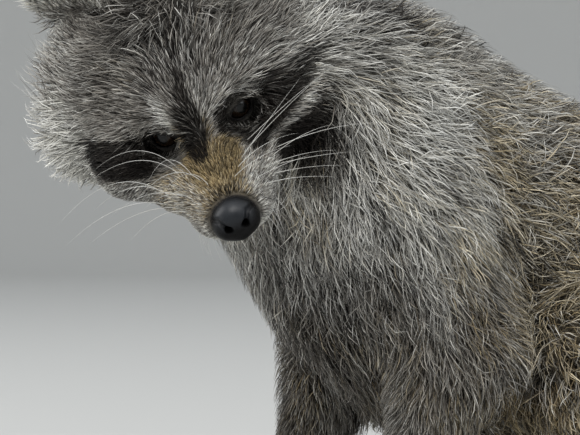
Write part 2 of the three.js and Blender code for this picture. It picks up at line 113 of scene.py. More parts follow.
EYE_RADIUS = 8.6
EYE_CENTRE = [19.5, 7.6, -1.9]
GAZE = [0.42, -0.87, 0.22]
SOCKET_AHEAD, SOCKET_RADIUS = 17.5, 12      # a ball in front of each eye that hollows the coat


def sided(point, side):
    """A point of the head's left side, or its mirror image on the right."""
    return np.array([point[0] * side, point[1], point[2]], float)


def body_sided(point, side):
    """The same for a point of the body."""
    return np.array([point[0], point[1] * side, point[2]], float)


def close_to(p, centre, reach):
    """The numbers of the points within reach of a centre."""
    return np.nonzero(((p - centre) ** 2).sum(1) < reach**2)[0]


def norm(v):
    """The length of each vector."""
    return np.linalg.norm(v, axis=-1)


def unit(v):
    v = np.asarray(v, float)
    return v / np.maximum(np.linalg.norm(v, axis=-1, keepdims=True), 1e-9)


for name, side in SIDES.items():
    low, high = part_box("eye_" + name)
    middle = np.array((low + high) / 2) / MM
    meant = HEAD.out(sided(EYE_CENTRE, side)) + FOOTPRINT
    print("eye", name, "lies", round(float(np.linalg.norm(middle - meant)), 2), "mm from its plan")

# %% [markdown]
# ## Shapes as distance fields
#
# The body is a sum of tapered limbs and ellipsoids that melt into each other, the
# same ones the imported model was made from. A field gives each point its distance
# outside the shape, so the skin can be drawn at any depth under the coat, and each
# tuft can ask how high it stands. Sculpting by hand could give the same form, but it
# couldn't be measured like this.

# %% Field shapes


def limb(p, start, end, start_radius, end_radius):
    start = np.asarray(start, float)
    axis = end - start
    along = np.clip((p - start) @ (axis / (axis @ axis)), 0, 1)
    away = p - start - along[:, None] * axis
    return np.sqrt((away * away).sum(1)) - (start_radius + (end_radius - start_radius) * along)


def egg(p, place, centre, radii):
    """An ellipsoid with its axes along those of a place."""
    q = place.into(p) - np.asarray(centre, float)
    q = q / np.asarray(radii, float)
    reach = np.sqrt((q * q).sum(1))
    q = q / np.asarray(radii, float)
    slope = np.sqrt((q * q).sum(1))
    return reach * (reach - 1) / np.maximum(slope, 1e-6)


def smooth_min(a, b, width):
    near = np.maximum(width - np.abs(a - b), 0) / width
    return np.minimum(a, b) - near * near * (width / 4)


def melt(width, shapes):
    nearest = shapes[0]
    for shape in shapes[1:]:
        nearest = smooth_min(nearest, shape, width)
    return nearest


def ramp(x, low, high):
    """0 below low and 1 above high, with a soft start and end."""
    t = np.clip((x - low) / (high - low), 0, 1)
    return t * t * (3 - 2 * t)


def fall(x, low, high):
    """1 below low and 0 above high."""
    return 1 - ramp(x, low, high)


def blend(first, second, share):
    """The first value where share is 0 and the second where it is 1."""
    return first * (1 - share) + second * share


# %% Trunk, legs and tail
TRUNK = [
    ([6, 0, 92], [92, 86, 97]),          # rump
    ([74, 0, 142], [98, 86, 92]),        # loin
    ([128, 0, 172], [84, 76, 88]),       # back
    ([112, 0, 96], [90, 74, 66]),        # belly
    ([184, 0, 162], [76, 72, 90]),       # chest
    ([182, 0, 221], [74, 61, 71]),       # withers
]
NECK = (HEAD.out([0, 62, -8]), BODY.out([206, 0, 206]), 64, 81)
HIP, KNEE, HEEL = [20, 52, 95], [94, 84, 84], [6, 88, 26]
SHOULDER, ELBOW, WRIST = [198, 50, 168], [170, 63, 96], [207, 53, 22]
LEGS = {
    "upper_arm": (SHOULDER, ELBOW, 45, 31), "forearm": (ELBOW, WRIST, 28, 14.5),
    "thigh": (HIP, KNEE, 62, 44), "shank": (KNEE, HEEL, 36, 19),
}
TAIL_PATH = [[-66, 4, 66], [-112, 10, 44], [-146, 40, 34], [-158, 92, 33],
             [-146, 144, 31], [-118, 186, 24], [-92, 210, 16]]
TAIL_RADII = [30, 34, 36, 35, 33, 26, 14]
TAIL_STEPS = 18


def smooth_path(points, places):
    """Points on a centripetal Catmull-Rom curve through the given ones."""
    p = np.asarray(points, float)
    p = np.vstack([2 * p[0] - p[1], p, 2 * p[-1] - p[-2]])
    found = []
    for place in places * (len(points) - 1):
        n = min(int(place), len(points) - 2)
        t = place - n
        four = p[n:n + 4]
        gaps = np.maximum(norm(np.diff(four, axis=0)) ** 0.5, 1e-4)
        a, b, c = gaps
        m1 = ((four[1] - four[0]) / a - (four[2] - four[0]) / (a + b) + (four[2] - four[1]) / b) * b
        m2 = ((four[2] - four[1]) / b - (four[3] - four[1]) / (b + c) + (four[3] - four[2]) / c) * b
        found.append((2 * t**3 - 3 * t**2 + 1) * four[1] + (t**3 - 2 * t**2 + t) * m1
                     + (3 * t**2 - 2 * t**3) * four[2] + (t**3 - t**2) * m2)
    return np.array(found)


tail_places = np.linspace(0, 1, TAIL_STEPS + 1)
tail_points = smooth_path(BODY.out(TAIL_PATH), tail_places)
tail_radii = np.interp(tail_places * (len(TAIL_RADII) - 1), range(len(TAIL_RADII)), TAIL_RADII)
tail_lengths = np.concatenate([[0], np.cumsum(norm(np.diff(tail_points, axis=0)))])
TAIL_LENGTH = tail_lengths[-1]


def along_tail(p):
    """Distance outside the tail, how far along it each point is, and its direction there."""
    best = np.full(len(p), 1e9)
    far = np.zeros(len(p))
    way = np.zeros((len(p), 3))
    for n in range(TAIL_STEPS):
        a, b = tail_points[n], tail_points[n + 1]
        axis = b - a
        t = np.clip((p - a) @ axis / (axis @ axis), 0, 1)
        gap = norm(p - a - t[:, None] * axis)
        gap = gap - (tail_radii[n] + (tail_radii[n + 1] - tail_radii[n]) * t)
        closer = gap < best
        far[closer] = (tail_lengths[n] + t * np.linalg.norm(axis))[closer]
        way[closer] = unit(axis)
        best = np.minimum(best, gap)
    return best, far / TAIL_LENGTH, way


# %% Head
def head_shape(p):
    near = lambda centre, radii: egg(p, HEAD, centre, radii)
    at = HEAD.out
    skull = [near([0, 51, 4], [61, 55, 45]), near([0, 20, 8], [36, 26, 22]), near([0, 44, -38], [52, 46, 30])]
    face = [limb(p, at([0, 4, -9]), at([0, -38, -30]), 20, 13),
            limb(p, at([0, 6, -36]), at([0, -34, -46]), 21, 8.6)]
    for side in (LEFT, RIGHT):
        skull.append(near(sided([56, 54, -13], side), [42, 34, 45]))        # ruff
        skull.append(near(sided([43, 66, 18], side), [34, 30, 32]))         # temple
        face.append(near(sided([35, 30, -16], side), [37, 40, 30]))         # cheek
        face.append(near(sided([20, 2, -24], side), [22, 34, 18]))          # under the eye
        face.append(near(sided([20, 13, 13], side), [17, 16, 11]))          # brow
        face.append(near(sided([10, -33, -33], side), [14, 18, 12.5]))      # whisker pad
    inside = -melt(8, [melt(22, skull), melt(10, face)])
    local = HEAD.into(p)
    for side in (LEFT, RIGHT):
        hollow = sided(EYE_CENTRE, side) + unit(sided(GAZE, side)) * SOCKET_AHEAD
        inside = smooth_min(inside, norm(local - hollow) - SOCKET_RADIUS, 6)
    return -inside


# %% [markdown]
# ## Regions
#
# A point belongs to the head, neck, trunk, a leg or the tail, or partly to two where
# they meet. These shares decide how deep the coat is, which way it lies and how it is
# marked, so that each changes smoothly from one region to the next.

# %% Regions
REGIONS = ["head", "neck", "trunk"] + [f"{leg}_{name}" for name in SIDES for leg in LEGS] + ["tail"]


def leg_ends(leg, side):
    return [BODY.out(body_sided(point, side)) for point in LEGS[leg][:2]]


def distances(p):
    """Distance outside each region, and where each point is along the tail."""
    found = {"head": head_shape(p), "neck": limb(p, *NECK),
             "trunk": melt(26, [egg(p, BODY, centre, radii) for centre, radii in TRUNK])}
    for name, side in SIDES.items():
        for leg in LEGS:
            found[f"{leg}_{name}"] = limb(p, *leg_ends(leg, side), *LEGS[leg][2:])
    found["tail"], far, way = along_tail(p)
    return found, far, way


def coat_surface(found):
    """Distance outside the tips of the coat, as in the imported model."""
    body = melt(26, [found[name] for name in REGIONS if name not in ("head", "tail")])
    return melt(14, [found["head"], body, found["tail"]])


def shares_of(found):
    gaps = np.stack([found[name] for name in REGIONS])
    weight = np.exp(-(gaps - gaps.min(0)) / 6.0)
    return dict(zip(REGIONS, weight / weight.sum(0)))


def leg_share(p, leg, side):
    """How far along a leg's length each point is, from 0 to 1."""
    start, end = leg_ends(leg, side)
    axis = end - start
    return np.clip((p - start) @ axis / (axis @ axis), 0, 1)


def head_depth(h):
    x, y, z = np.abs(h[:, 0]), h[:, 1], h[:, 2]
    depth = 1.7 + 4.6 * ramp(y, -6, 46) + 4 * ramp(y, 60, 110)
    depth = depth + 13 * ramp(x, 44, 84) * ramp(y, 4, 40)
    return depth + 8 * ramp(-z, 24, 62) * ramp(y, -8, 22)


def coat_depth(p, shares, far):
    depth = shares["head"] * head_depth(HEAD.into(p)) + shares["neck"] * 17 + shares["trunk"] * 15.5
    for name, side in SIDES.items():
        depth = depth + shares["upper_arm_" + name] * 13 + shares["thigh_" + name] * 14
        depth = depth + shares["forearm_" + name] * (11 - 8 * ramp(leg_share(p, "forearm", side), 0, 0.95))
        depth = depth + shares["shank_" + name] * (11 - 7 * leg_share(p, "shank", side))
    return depth + shares["tail"] * np.interp(far, tail_places, tail_radii) * 0.5


# %% [markdown]
# ## Paws, ears and lids
#
# A raccoon's hands and feet are nearly bare, with long fingers, swollen tips and
# leathery pads. The ears are thin cupped leaves. The lids are a thin skin lying on
# the eyeball, with an almond opening. They are all parts of the same field, so the
# skin comes out as one surface with no seams.

# %% Paws
HAND = dict(place=[206, 53, 0], turned=10, length=34, half_width=14.5, half_height=8.5, digit=27,
            fan=15, radius=4.7, wrist_height=20, wrist_radius=12)
FOOT = dict(place=[4, 88, 0], turned=9, length=68, half_width=15.5, half_height=11, digit=24,
            fan=9, radius=5.0, wrist_height=20, wrist_radius=14)
SOLE_FLAT = 0.7
paws = {}
for paw_name, paw in (("hand", HAND), ("foot", FOOT)):
    for name, side in SIDES.items():
        turned = BODY.turned @ turn("z", paw["turned"] * side)
        place = Place(turned, BODY.out(body_sided(paw["place"], side)))
        digits = []
        for n in range(-2, 3):
            angle = math.radians(paw["fan"] * n)
            reach = paw["digit"] * (1 - 0.05 * n * n)
            root = [paw["length"] - 3 - 2.2 * n * n, n * paw["half_width"] * 0.42, paw["half_height"] * 0.75]
            tip = [root[0] + reach * math.cos(angle), root[1] + reach * math.sin(angle),
                   paw["radius"] * 0.86 - SOLE_FLAT]
            digits.append((np.array(root), np.array(tip), angle))
        paws[f"{paw_name}_{name}"] = (place, paw, digits)


def paw_shape(p, name):
    place, paw, digits = paws[name]
    q = place.into(p)
    length, wide, tall, thick = paw["length"], paw["half_width"], paw["half_height"], paw["radius"]
    palm = [
        egg(q, OWN, [length / 2, 0, tall - SOLE_FLAT], [length / 2 + 7, wide - 1, tall - 0.8]),
        limb(q, [-2, 0, paw["wrist_height"]], [length * 0.4, 0, tall], paw["wrist_radius"] - 1.2, tall - 1.5),
        egg(q, OWN, [4, 0, 5], [9, wide * 0.7, 5]),
    ]
    fingers = []
    for root, tip, angle in digits:
        knuckle = root * 0.45 + tip * 0.55 + np.array([0, 0, 2.2])
        bulb = tip + np.array([math.cos(angle), math.sin(angle), 0]) * 0.5
        fingers.append(melt(1.6, [
            limb(q, root, knuckle, thick * 0.98, thick * 0.74),
            limb(q, knuckle, tip, thick * 0.74, thick * 0.66),
            egg(q, OWN, bulb - [0, 0, 0.4], [thick * 1.0, thick * 0.82, thick * 0.78]),
        ]))
        palm.append(egg(q, OWN, root * [0.86, 0.95, 0] + [0, 0, 3.4], [5.6, 4.0, 4.0]))
    return melt(3.0, [melt(4.0, palm), melt(0.8, fingers)])


def round_paw(name):
    """A centre and a reach that hold a paw."""
    return paws[name][0].out([30, 0, 10]), 90


# %% Ears
EAR_BASE = [41, 77, 47]
EAR_WIDTH, EAR_HEIGHT, EAR_THICK, EAR_CUP = 20.5, 33, 4.6, 15
ear_places = {}
for name, side in SIDES.items():
    turned = HEAD.turned @ turn("y", -2 * side) @ turn("x", -8) @ turn("z", 34 * side)
    ear_places[name] = Place(turned, HEAD.out(sided(EAR_BASE, side)))


def in_ear(p, name):
    """Across, up and through an ear, each from -1 to 1 inside its leaf."""
    q = ear_places[name].into(p)
    up = q[:, 2] / EAR_HEIGHT - 0.6
    across = q[:, 0] / (EAR_WIDTH * (1 + 0.5 * np.maximum(-up, 0)))
    cup = EAR_CUP * (np.clip(across, -1.3, 1.3) ** 2 + 0.4 * np.clip(up, 0, 1.3) ** 2)
    return across, up, (q[:, 1] + cup) / EAR_THICK


def ear_shape(p, name):
    across, up, through = in_ear(p, name)
    edge = np.sqrt(across**2 + up**2)
    thin = 1 - 0.31 * np.clip(edge, 0, 1) ** 2
    leaf = np.sqrt(across**2 + up**2 + (through / (0.62 * thin)) ** 2)
    slope = np.sqrt((across / EAR_WIDTH) ** 2 + (up / EAR_HEIGHT) ** 2 + (through / 0.4 / EAR_THICK) ** 2)
    return leaf * (leaf - 0.97) / np.maximum(slope, 1e-4)


def round_ear(name):
    """A centre and a reach that hold an ear."""
    return ear_places[name].out([0, 0, 20]), 75


# %% Eyes, lids and mouth
LID_THICK = 1.5
LID_OPENING = [0, -1.2, 0], [7.3, 4.0, 9]
eye_places = {}
for name, side in SIDES.items():
    ahead = HEAD.way(unit(sided(GAZE, side)))
    across = unit(np.cross(HEAD.way([0, 0, 1]), ahead))
    turned = np.stack([across, np.cross(ahead, across), ahead], 1)
    eye_places[name] = Place(turned, HEAD.out(sided(EYE_CENTRE, side)))
MOUTH = [[0, -51, -41], [12, -44, -43.5], [20, -26, -42], [26, -6, -34]]


def lid_opening(p, name):
    """Distance outside the almond opening between an eye's lids."""
    slant = eye_places[name].into(p) @ turn("z", 10 * SIDES[name])
    return egg(slant, Place(np.eye(3), [0, 0, EYE_RADIUS]), *LID_OPENING)


def with_face(p, field):
    """Adds the lids round each eye, and cuts the socket, the lid opening and the mouth."""
    for name in SIDES:
        q = eye_places[name].into(p)
        ball = np.sqrt((q * q).sum(1))
        field = smooth_min(field, ball - EYE_RADIUS - LID_THICK, 3.0)
        field = -smooth_min(-field, lid_opening(p, name), 0.8)
        field = np.maximum(field, EYE_RADIUS + 0.1 - ball)
    for side in (LEFT, RIGHT):
        for a, b in zip(MOUTH, MOUTH[1:]):
            crease = limb(p, HEAD.out(sided(a, side)), HEAD.out(sided(b, side)), 0.8, 0.8)
            field = -smooth_min(-field, crease, 2.0)
    return field


def skin_surface(p):
    """Distance outside the bare skin."""
    found, far, _ = distances(p)
    field = coat_surface(found) + coat_depth(p, shares_of(found), far)
    added = [(close_to(p, *round_paw(name)), paw_shape, name, 4) for name in paws]
    added += [(close_to(p, *round_ear(name)), ear_shape, name, 3) for name in SIDES]
    for close, shape, name, width in added:
        if len(close):
            field[close] = smooth_min(field[close], shape(p[close], name), width)
    close = close_to(p, HEAD.out([0, -20, -15]), 75)
    if len(close):
        field[close] = with_face(p[close], field[close])
    return np.maximum(field, -p[:, 2])


# %% [markdown]
# ## From field to mesh
#
# The surface is found on a grid: each cell that the surface crosses gets one point,
# and each crossed grid edge gets one face between its four cells. The grid lines are
# close together at the eyes, close on the face and paws, and wide on the trunk, so
# the detail goes where it shows. Most cells are far from the surface and are skipped.

# %% Surface on a grid
BLOCK = 5


def in_chunks(work, p, size=400000):
    return np.concatenate([work(p[n:n + size]) for n in range(0, len(p), size)])


def grid_lines(spans):
    """Grid lines from (end, spacing) pairs, from a first end on."""
    lines = [spans[0][0]]
    for (start, _), (end, spacing) in zip(spans, spans[1:]):
        count = max(1, round((end - start) / spacing))
        lines.extend(start + (end - start) * np.arange(1, count + 1) / count)
    lines = np.array(lines)
    extra = (-(len(lines) - 1)) % BLOCK
    step = lines[-1] - lines[-2]
    return np.concatenate([lines, lines[-1] + step * np.arange(1, extra + 1)])


def sampled(field, lines):
    """The field at each grid point near the surface, and a rough value elsewhere."""
    xs, ys, zs = lines
    coarse = [axis[::BLOCK] for axis in lines]
    mesh = np.stack(np.meshgrid(*coarse, indexing="ij"), -1)
    rough = in_chunks(field, mesh.reshape(-1, 3)).reshape(mesh.shape[:3])
    u, v, w = (np.diff(axis) for axis in coarse)
    reach = np.sqrt(u[:, None, None] ** 2 + v[None, :, None] ** 2 + w[None, None, :] ** 2)
    corners = [rough[i:len(coarse[0]) - 1 + i, j:len(coarse[1]) - 1 + j, k:len(coarse[2]) - 1 + k]
               for i in (0, 1) for j in (0, 1) for k in (0, 1)]
    wanted = np.min(np.abs(corners), axis=0) < reach * 0.75
    wanted |= (np.min(corners, axis=0) < 0) != (np.max(corners, axis=0) < 0)
    shape = tuple(len(axis) for axis in lines)
    near = np.zeros(shape, bool)
    for i, j, k in np.argwhere(wanted):
        near[tuple(slice(m * BLOCK, (m + 1) * BLOCK + 1) for m in (i, j, k))] = True
    pick = [np.minimum(np.arange(n) // BLOCK, len(axis) - 1) for n, axis in zip(shape, coarse)]
    values = rough[np.ix_(*pick)].astype(np.float64)
    spots = np.nonzero(near)
    p = np.stack([xs[spots[0]], ys[spots[1]], zs[spots[2]]], 1)
    values[spots] = in_chunks(field, p)
    return values


def surface(field, lines):
    values = sampled(field, lines)
    inside = values < 0
    xs, ys, zs = lines
    shape = tuple(n - 1 for n in values.shape)
    part = lambda a, i, j, k: a[i:shape[0] + i, j:shape[1] + j, k:shape[2] + k]
    bits = [(i, j, k) for i in (0, 1) for j in (0, 1) for k in (0, 1)]
    count = sum(part(inside, *b).astype(np.int8) for b in bits)
    cells = np.nonzero((count > 0) & (count < 8))
    corner = {b: values[cells[0] + b[0], cells[1] + b[1], cells[2] + b[2]] for b in bits}
    total, hits = np.zeros((len(cells[0]), 3)), np.zeros(len(cells[0]))
    for a in bits:
        for axis in range(3):
            if a[axis] == 0:
                b = tuple(1 if n == axis else a[n] for n in range(3))
                crossed = (corner[a] < 0) != (corner[b] < 0)
                share = np.where(crossed, corner[a] / np.where(crossed, corner[a] - corner[b], 1), 0)
                spot = np.tile(np.array(a, float), (len(share), 1))
                spot[:, axis] += share
                total += spot * crossed[:, None]
                hits += crossed
    spot = total / hits[:, None]
    points = np.stack([axis[c] + s * (axis[c + 1] - axis[c])
                       for axis, c, s in zip((xs, ys, zs), cells, spot.T)], 1)
    number = np.full(shape, -1, np.int64)
    number[cells] = np.arange(len(points))
    faces = []
    for axis in range(3):
        low, high = [slice(1, -1)] * 3, [slice(1, -1)] * 3
        low[axis], high[axis] = slice(0, -1), slice(1, None)
        change = inside[tuple(low)] != inside[tuple(high)]
        spots = [spot + (other != axis) for other, spot in enumerate(np.nonzero(change))]
        u, v = (axis + 1) % 3, (axis + 2) % 3
        ring = []
        for du, dv in ((0, 0), (-1, 0), (-1, -1), (0, -1)):
            cell = [s.copy() for s in spots]
            cell[u] += du
            cell[v] += dv
            ring.append(number[tuple(cell)])
        quad = np.stack(ring, 1)
        flip = ~inside[tuple(spots)]
        quad[flip] = quad[flip][:, ::-1]
        faces.append(quad)
    return points, np.concatenate(faces)


def slope_of(field, p, step):
    """The field's value and its steepest direction at each point."""
    here = field(p)
    steps = [field(p + np.eye(3)[n] * step) for n in range(3)]
    return here, np.stack([(s - here) / step for s in steps], 1)


# %% Meshes
def make_mesh(name, points, faces):
    """A mesh object from points in the pose frame, in millimetres."""
    points = (np.asarray(points) + FOOTPRINT) * MM
    faces = np.asarray(faces)
    mesh = bpy.data.meshes.new(name)
    mesh.vertices.add(len(points))
    mesh.vertices.foreach_set("co", points.astype(np.float32).ravel())
    mesh.loops.add(faces.size)
    mesh.loops.foreach_set("vertex_index", faces.astype(np.int32).ravel())
    mesh.polygons.add(len(faces))
    mesh.polygons.foreach_set("loop_start", np.arange(0, faces.size, faces.shape[1], dtype=np.int32))
    mesh.update(calc_edges=True)
    mesh.polygons.foreach_set("use_smooth", np.ones(len(faces), bool))
    mesh.validate()
    piece = bpy.data.objects.new(name, mesh)
    bpy.context.scene.collection.objects.link(piece)
    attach(piece, "root")
    return piece


def paint(piece, name, values):
    """Stores a number or a colour for each point of a mesh, for its material to read."""
    values = np.asarray(values, np.float32)
    if values.ndim == 1:
        layer = piece.data.attributes.new(name, "FLOAT", "POINT")
        layer.data.foreach_set("value", values)
    else:
        layer = piece.data.attributes.new(name, "FLOAT_COLOR", "POINT")
        layer.data.foreach_set("color", np.c_[values, np.ones(len(values))].astype(np.float32).ravel())


# %% The skin
low, high = (np.array(corner) / MM - FOOTPRINT for corner in cad_box)
margin = 8
low, high = low - margin, high + margin
SPANS = [       # (end, spacing) along x, y and z, in mm
    [(low[0], 0), (-78, 1.6), (-72, 1.2), (-14, 0.85), (60, 1.6), (268, 2.6), (high[0], 4.5)],
    [(low[1], 0), (-8, 1.5), (24, 0.85), (104, 1.6), (170, 2.8), (300, 2.6), (high[1], 4.5)],
    [(-3, 0), (34, 1.5), (156, 4.2), (202, 1.6), (243, 0.85), (330, 1.7), (high[2], 2.0)],
]
skin_lines = [grid_lines(spans) for spans in SPANS]
print("grid lines", [len(lines) for lines in skin_lines])
skin_points, skin_faces = surface(skin_surface, skin_lines)
value, slope = slope_of(lambda p: in_chunks(skin_surface, p), skin_points, 0.4)
move = -value[:, None] * slope / np.maximum((slope * slope).sum(1), 0.3)[:, None]
move *= np.minimum(1, 0.5 / np.maximum(norm(move), 1e-6))[:, None]
skin_points = skin_points + move
print("skin", len(skin_points), "points and", len(skin_faces), "faces")

# %% [markdown]
# ## Markings
#
# A raccoon's face has a dark mask across the eyes, pale brows over it, a dark stripe
# down the forehead and a pale muzzle with a tan bridge. Its back is grizzled grey
# brown, its flanks straw coloured and its tail ringed. Each mark is a formula in the
# head's or the body's frame. The skin and every tuft read the same formulas, so they
# always agree.

# %% Reading a point's surroundings
NOSE_RIM = [0, -50, -30], [12.4, 11.2, 11]


def raise_at(values, rows, new):
    values[rows] = np.maximum(values[rows], new)


class Survey:
    """What the coat's formulas need to know about each of some points."""

    def __init__(self, p):
        self.p = p
        found, self.far, self.tail_way = distances(p)
        self.shares = shares_of(found)
        self.h = HEAD.into(p)
        self.b = BODY.into(p)
        self.ear, self.paw, self.bare, self.ear_edge, self.by_ear, self.by_eye = np.zeros((6, len(p)))
        self.ear_way, self.paw_way = np.zeros((2, len(p), 3))
        for name in SIDES:
            self.read_ear(name)
            q = np.sqrt((eye_places[name].into(p) ** 2).sum(1)) - EYE_RADIUS
            lid_edge = fall(lid_opening(p, name), 0.8, 2.0) * fall(q, 3, 5)
            self.bare = np.maximum(self.bare, np.maximum(lid_edge, fall(q, 0.5, 1.0)))
            self.by_eye = np.maximum(self.by_eye, fall(q, 2, 9))
        for name in paws:
            self.read_paw(name)
        self.bare = np.maximum(self.bare, fall(egg(p, HEAD, *NOSE_RIM), 0.6, 1.6))

    def read_ear(self, name):
        close = close_to(self.p, *round_ear(name))
        p, place = self.p[close], ear_places[name]
        across, up, through = in_ear(p, name)
        inside = fall(ear_shape(p, name), 2.0, 5.0) * ramp(up, -0.75, -0.35)
        raise_at(self.ear, close, inside)
        foot = norm(p - place.out([0, -6, 2]))
        raise_at(self.by_ear, close, fall(foot, 22, 40))
        self.ear_edge[close] = np.sqrt(across**2 + np.maximum(up, 0) ** 2) * inside
        self.ear_way[close] = place.way(np.stack([across * 0.8, through * 0, 0.9 - across * across * 0.5], 1))
        raise_at(self.bare, close, 0.35 * inside * ramp(-through, 0.0, 0.5) * ramp(0.7 - up, 0, 0.8))

    def read_paw(self, name):
        close = close_to(self.p, *round_paw(name))
        place, paw, _ = paws[name]
        q = place.into(self.p[close])
        inside = fall(paw_shape(self.p[close], name), 1.0, 4.0)
        raise_at(self.paw, close, inside)
        digit = ramp(q[:, 0], paw["length"] + 4, paw["length"] + 13)
        sole = ramp(-q[:, 2], -3.6, -1.6) * ramp(q[:, 0], -8, 0)
        raise_at(self.bare, close, inside * np.maximum(digit * 0.9, sole))
        self.paw_way[close] = place.way([1, 0, 0])


# %% Marks on the head
def head_marks(h):
    """Dark, pale and warm, for points in the head's frame."""
    x, y, z = h.T
    wide, left = np.abs(x), ramp(x, -4, 4)
    right, front = 1 - left, fall(y, 34, 60)

    # The stripe down the forehead, between lines drawn by height.
    centre = np.interp(z, [-8, -3, 3, 14, 24, 31, 40], [-8, -7, -5.4, -5.2, -3.6, -1.2, 0.5])
    width = np.interp(z, [-9, -6, -3, 3, 14, 20, 24, 31, 37, 46, 60],
                      [0.5, 5, 6.5, 7.8, 7.4, 5.8, 4.4, 2.8, 2.8, 2, 1.5])
    off_stripe, left_of_stripe = np.abs(x - centre) - width, x - centre - width
    stripe = fall(off_stripe, -1.6, 1.8) * front * (1 - 0.6 * ramp(z, 34, 56)) * ramp(z, -10, -5)

    # The mask, between an upper and a lower line that differ a little from side to side.
    top_left = np.interp(wide, [8, 12, 17, 24, 31, 42, 54, 68, 79, 88],
                         [7, 11.5, 13, 12.5, 11, 11, 8, 4, -1, -6])
    low_left = np.interp(wide, [8, 12, 15, 18, 23, 28, 34, 40, 50, 60, 80],
                         [-0.5, -4.5, -7, -9.5, -13, -14.5, -13, -12, -9, -7.5, -8.5])
    top_right = np.interp(wide, [8, 12, 16, 23, 30, 40, 50, 60, 72, 80],
                          [3, 6, 8, 7.5, 6, 7, 6.5, 4.5, 0, -4])
    low_right = np.interp(wide, [8, 12, 18, 26, 40, 60, 70, 80],
                          [0, -4, -7.5, -10.5, -12.5, -13, -11.5, -9])
    top = top_right + (top_left - top_right) * left
    low = low_right + (low_left - low_right) * left
    soft = 1.2 + 2.2 * ramp(wide, 36, 76)
    mask = ramp(top - z, -soft, soft) * ramp(z - low, -soft, soft)
    mask = mask * ramp(wide, 8.4 - 2 * left, 10.8 - 2 * left) * fall(y, 45, 65)
    mask = mask * fall(wide - 12 * left, 62, 76)
    gap = left * fall(np.hypot(x - 32, z - 8), 2, 6.5)
    streak = fall(np.abs(x + 15.8 + 0.13 * z) - 0.07 * (z + 4), 1.0, 3.2) * right
    streak = streak * ramp(z, -8, -1) * fall(z, 20, 32)
    mask = mask * (1 - 0.55 * gap) * (1 - streak)

    # Pale brows over the mask, pale cheeks under it, and the ruffs.
    crown = np.interp(wide, [2, 10, 20, 37, 60, 90], [35, 36, 34, 31, 29, 24]) - right * 9
    brow = ramp(crown - z, -4, 7) * ramp(z - low, -2, 2) * front
    brow = brow * ramp(z, -6 + 6 * left, 2 + 6 * left) * ramp(y + 22 - 6 * left, 0, 8)
    beside = fall(left_of_stripe, 5, 13) * ramp(left_of_stripe, -1, 2) * front
    brow = brow * (0.02 + 0.14 * fall(z - top, 4, 14) + 0.15 * left + 0.12 * beside * left)
    cheek = ramp(low - z, -1, 5) * ramp(wide, 14, 24) * fall(y, 30, 60)
    cheek = cheek * (1 - 0.55 * ramp(-y, 4, 14) * left) * (0.58 + 0.06 * left)
    # The ruffs are pale; the one on the animal's right is painted paler than the left, as painted light
    # falling on that side.
    ruff = ramp(wide, 54, 80) * (1 - 0.55 * ramp(y, 42, 78)) * (0.98 - 0.22 * left) * ramp(38 - z, 0, 30)
    chin = ramp(-z, 28, 40) * 0.9 * fall(y, 10, 40)
    temple = 0.30 * ramp(wide, 40, 62) * ramp(z, 18, 30) * right

    # The muzzle, pale at its sides and tan along the bridge.
    muzzle = ramp(-y, 9, 17) * ramp(-z, -3, 4)
    side = ramp(wide - 5 * ramp(z, -16, -6), 9, 17)
    lips = muzzle * (0.10 + 0.17 * ramp(-z, 12, 20) + side * (0.22 + 0.02 * left))
    tan = muzzle * (1 - 0.85 * side * left - 0.45 * side * right) * fall(-z, 24, 36)
    tan = tan * (0.95 - 0.33 * ramp(-z, 12, 20))
    edge = ramp(off_stripe, -3, 0.5) * fall(off_stripe, 2, 5)
    warm = np.maximum(tan, 0.55 * edge * ramp(16 - z, 0, 12) * front)

    # Dark hair at the nose, on the bridge and crown, and close round the eyes.
    smoke = ramp(-y, 35, 41) * fall(wide, 5, 12) * fall(-z, 26, 32) * 0.55
    by_nose = 0.75 * fall(egg(h, OWN, *NOSE_RIM), 1.5, 5.0)
    cap = 0.50 * fall(np.abs(x + 1), 12, 36) * ramp(z, 20, 32) * (1 - 0.6 * ramp(z, 46, 62))
    bridge = 0.32 * muzzle * (1 - side) * (1 - 0.8 * ramp(-z, 10, 18))
    peppered = (0.22 - 0.08 * left) * front * ramp(z, 14, 22)
    eye = np.min([norm(h - sided(EYE_CENTRE, side)) for side in (LEFT, RIGHT)], axis=0)
    rim = fall(eye, EYE_RADIUS + 2.6, EYE_RADIUS + 4.6)
    dark = np.max([mask, stripe * 0.92, smoke, by_nose, cap, bridge, peppered, rim], axis=0)
    pale = np.max([brow, 0.8 * streak, cheek, lips, chin, ruff, temple], axis=0)
    return dark, pale, warm


def throat_hair_and_shadow(h):
    """Dark hair under the cheeks, on the head's side of the neck, darkened further by painted shadow that the
    cheeks cast there.
    """
    x, y, z = h.T
    left = ramp(x, -4, 4)
    wide = np.abs(x)
    shade = ramp(-z, 12.5, 20) * ramp(wide, 28.5, 36) * fall(wide, 44, 92) * fall(-z, 34, 82)
    return shade * ramp(y, -31, -22) * fall(y, 16, 44) * (0.3 + 0.75 * left)


# %% Marks on the whole coat
phases = np.random.default_rng(5).uniform(0, 2 * np.pi, (3, 9))
waves = unit(np.random.default_rng(6).normal(size=(3, 9, 3)))


def drift(p, size, channel=0):
    """A smooth random value from about -1 to 1 that changes over a given size."""
    total = 0
    for n in range(9):
        stretch = 2 * np.pi / size * (0.7 + 0.09 * n)
        total = total + np.sin(p @ waves[channel, n] * stretch + phases[channel, n])
    return total / 3.2


RING_EDGES = [0.13, 0.20, 0.31, 0.38, 0.48, 0.555, 0.65, 0.72, 0.81, 0.87, 0.925]


def ring_share(far):
    ringed = np.zeros(len(far))
    for start, end in zip(RING_EDGES[0::2], RING_EDGES[1::2] + [1.2]):
        inside = ramp(far - start, -0.012, 0.012) * fall(far - end, -0.012, 0.012)
        ringed = np.maximum(ringed, inside)
    return ringed


def flank_share(b):
    """1 on the flanks and haunches, where the coat is straw coloured and tangled."""
    return fall(b[:, 0], 125, 205) * fall(b[:, 2], 170, 280)


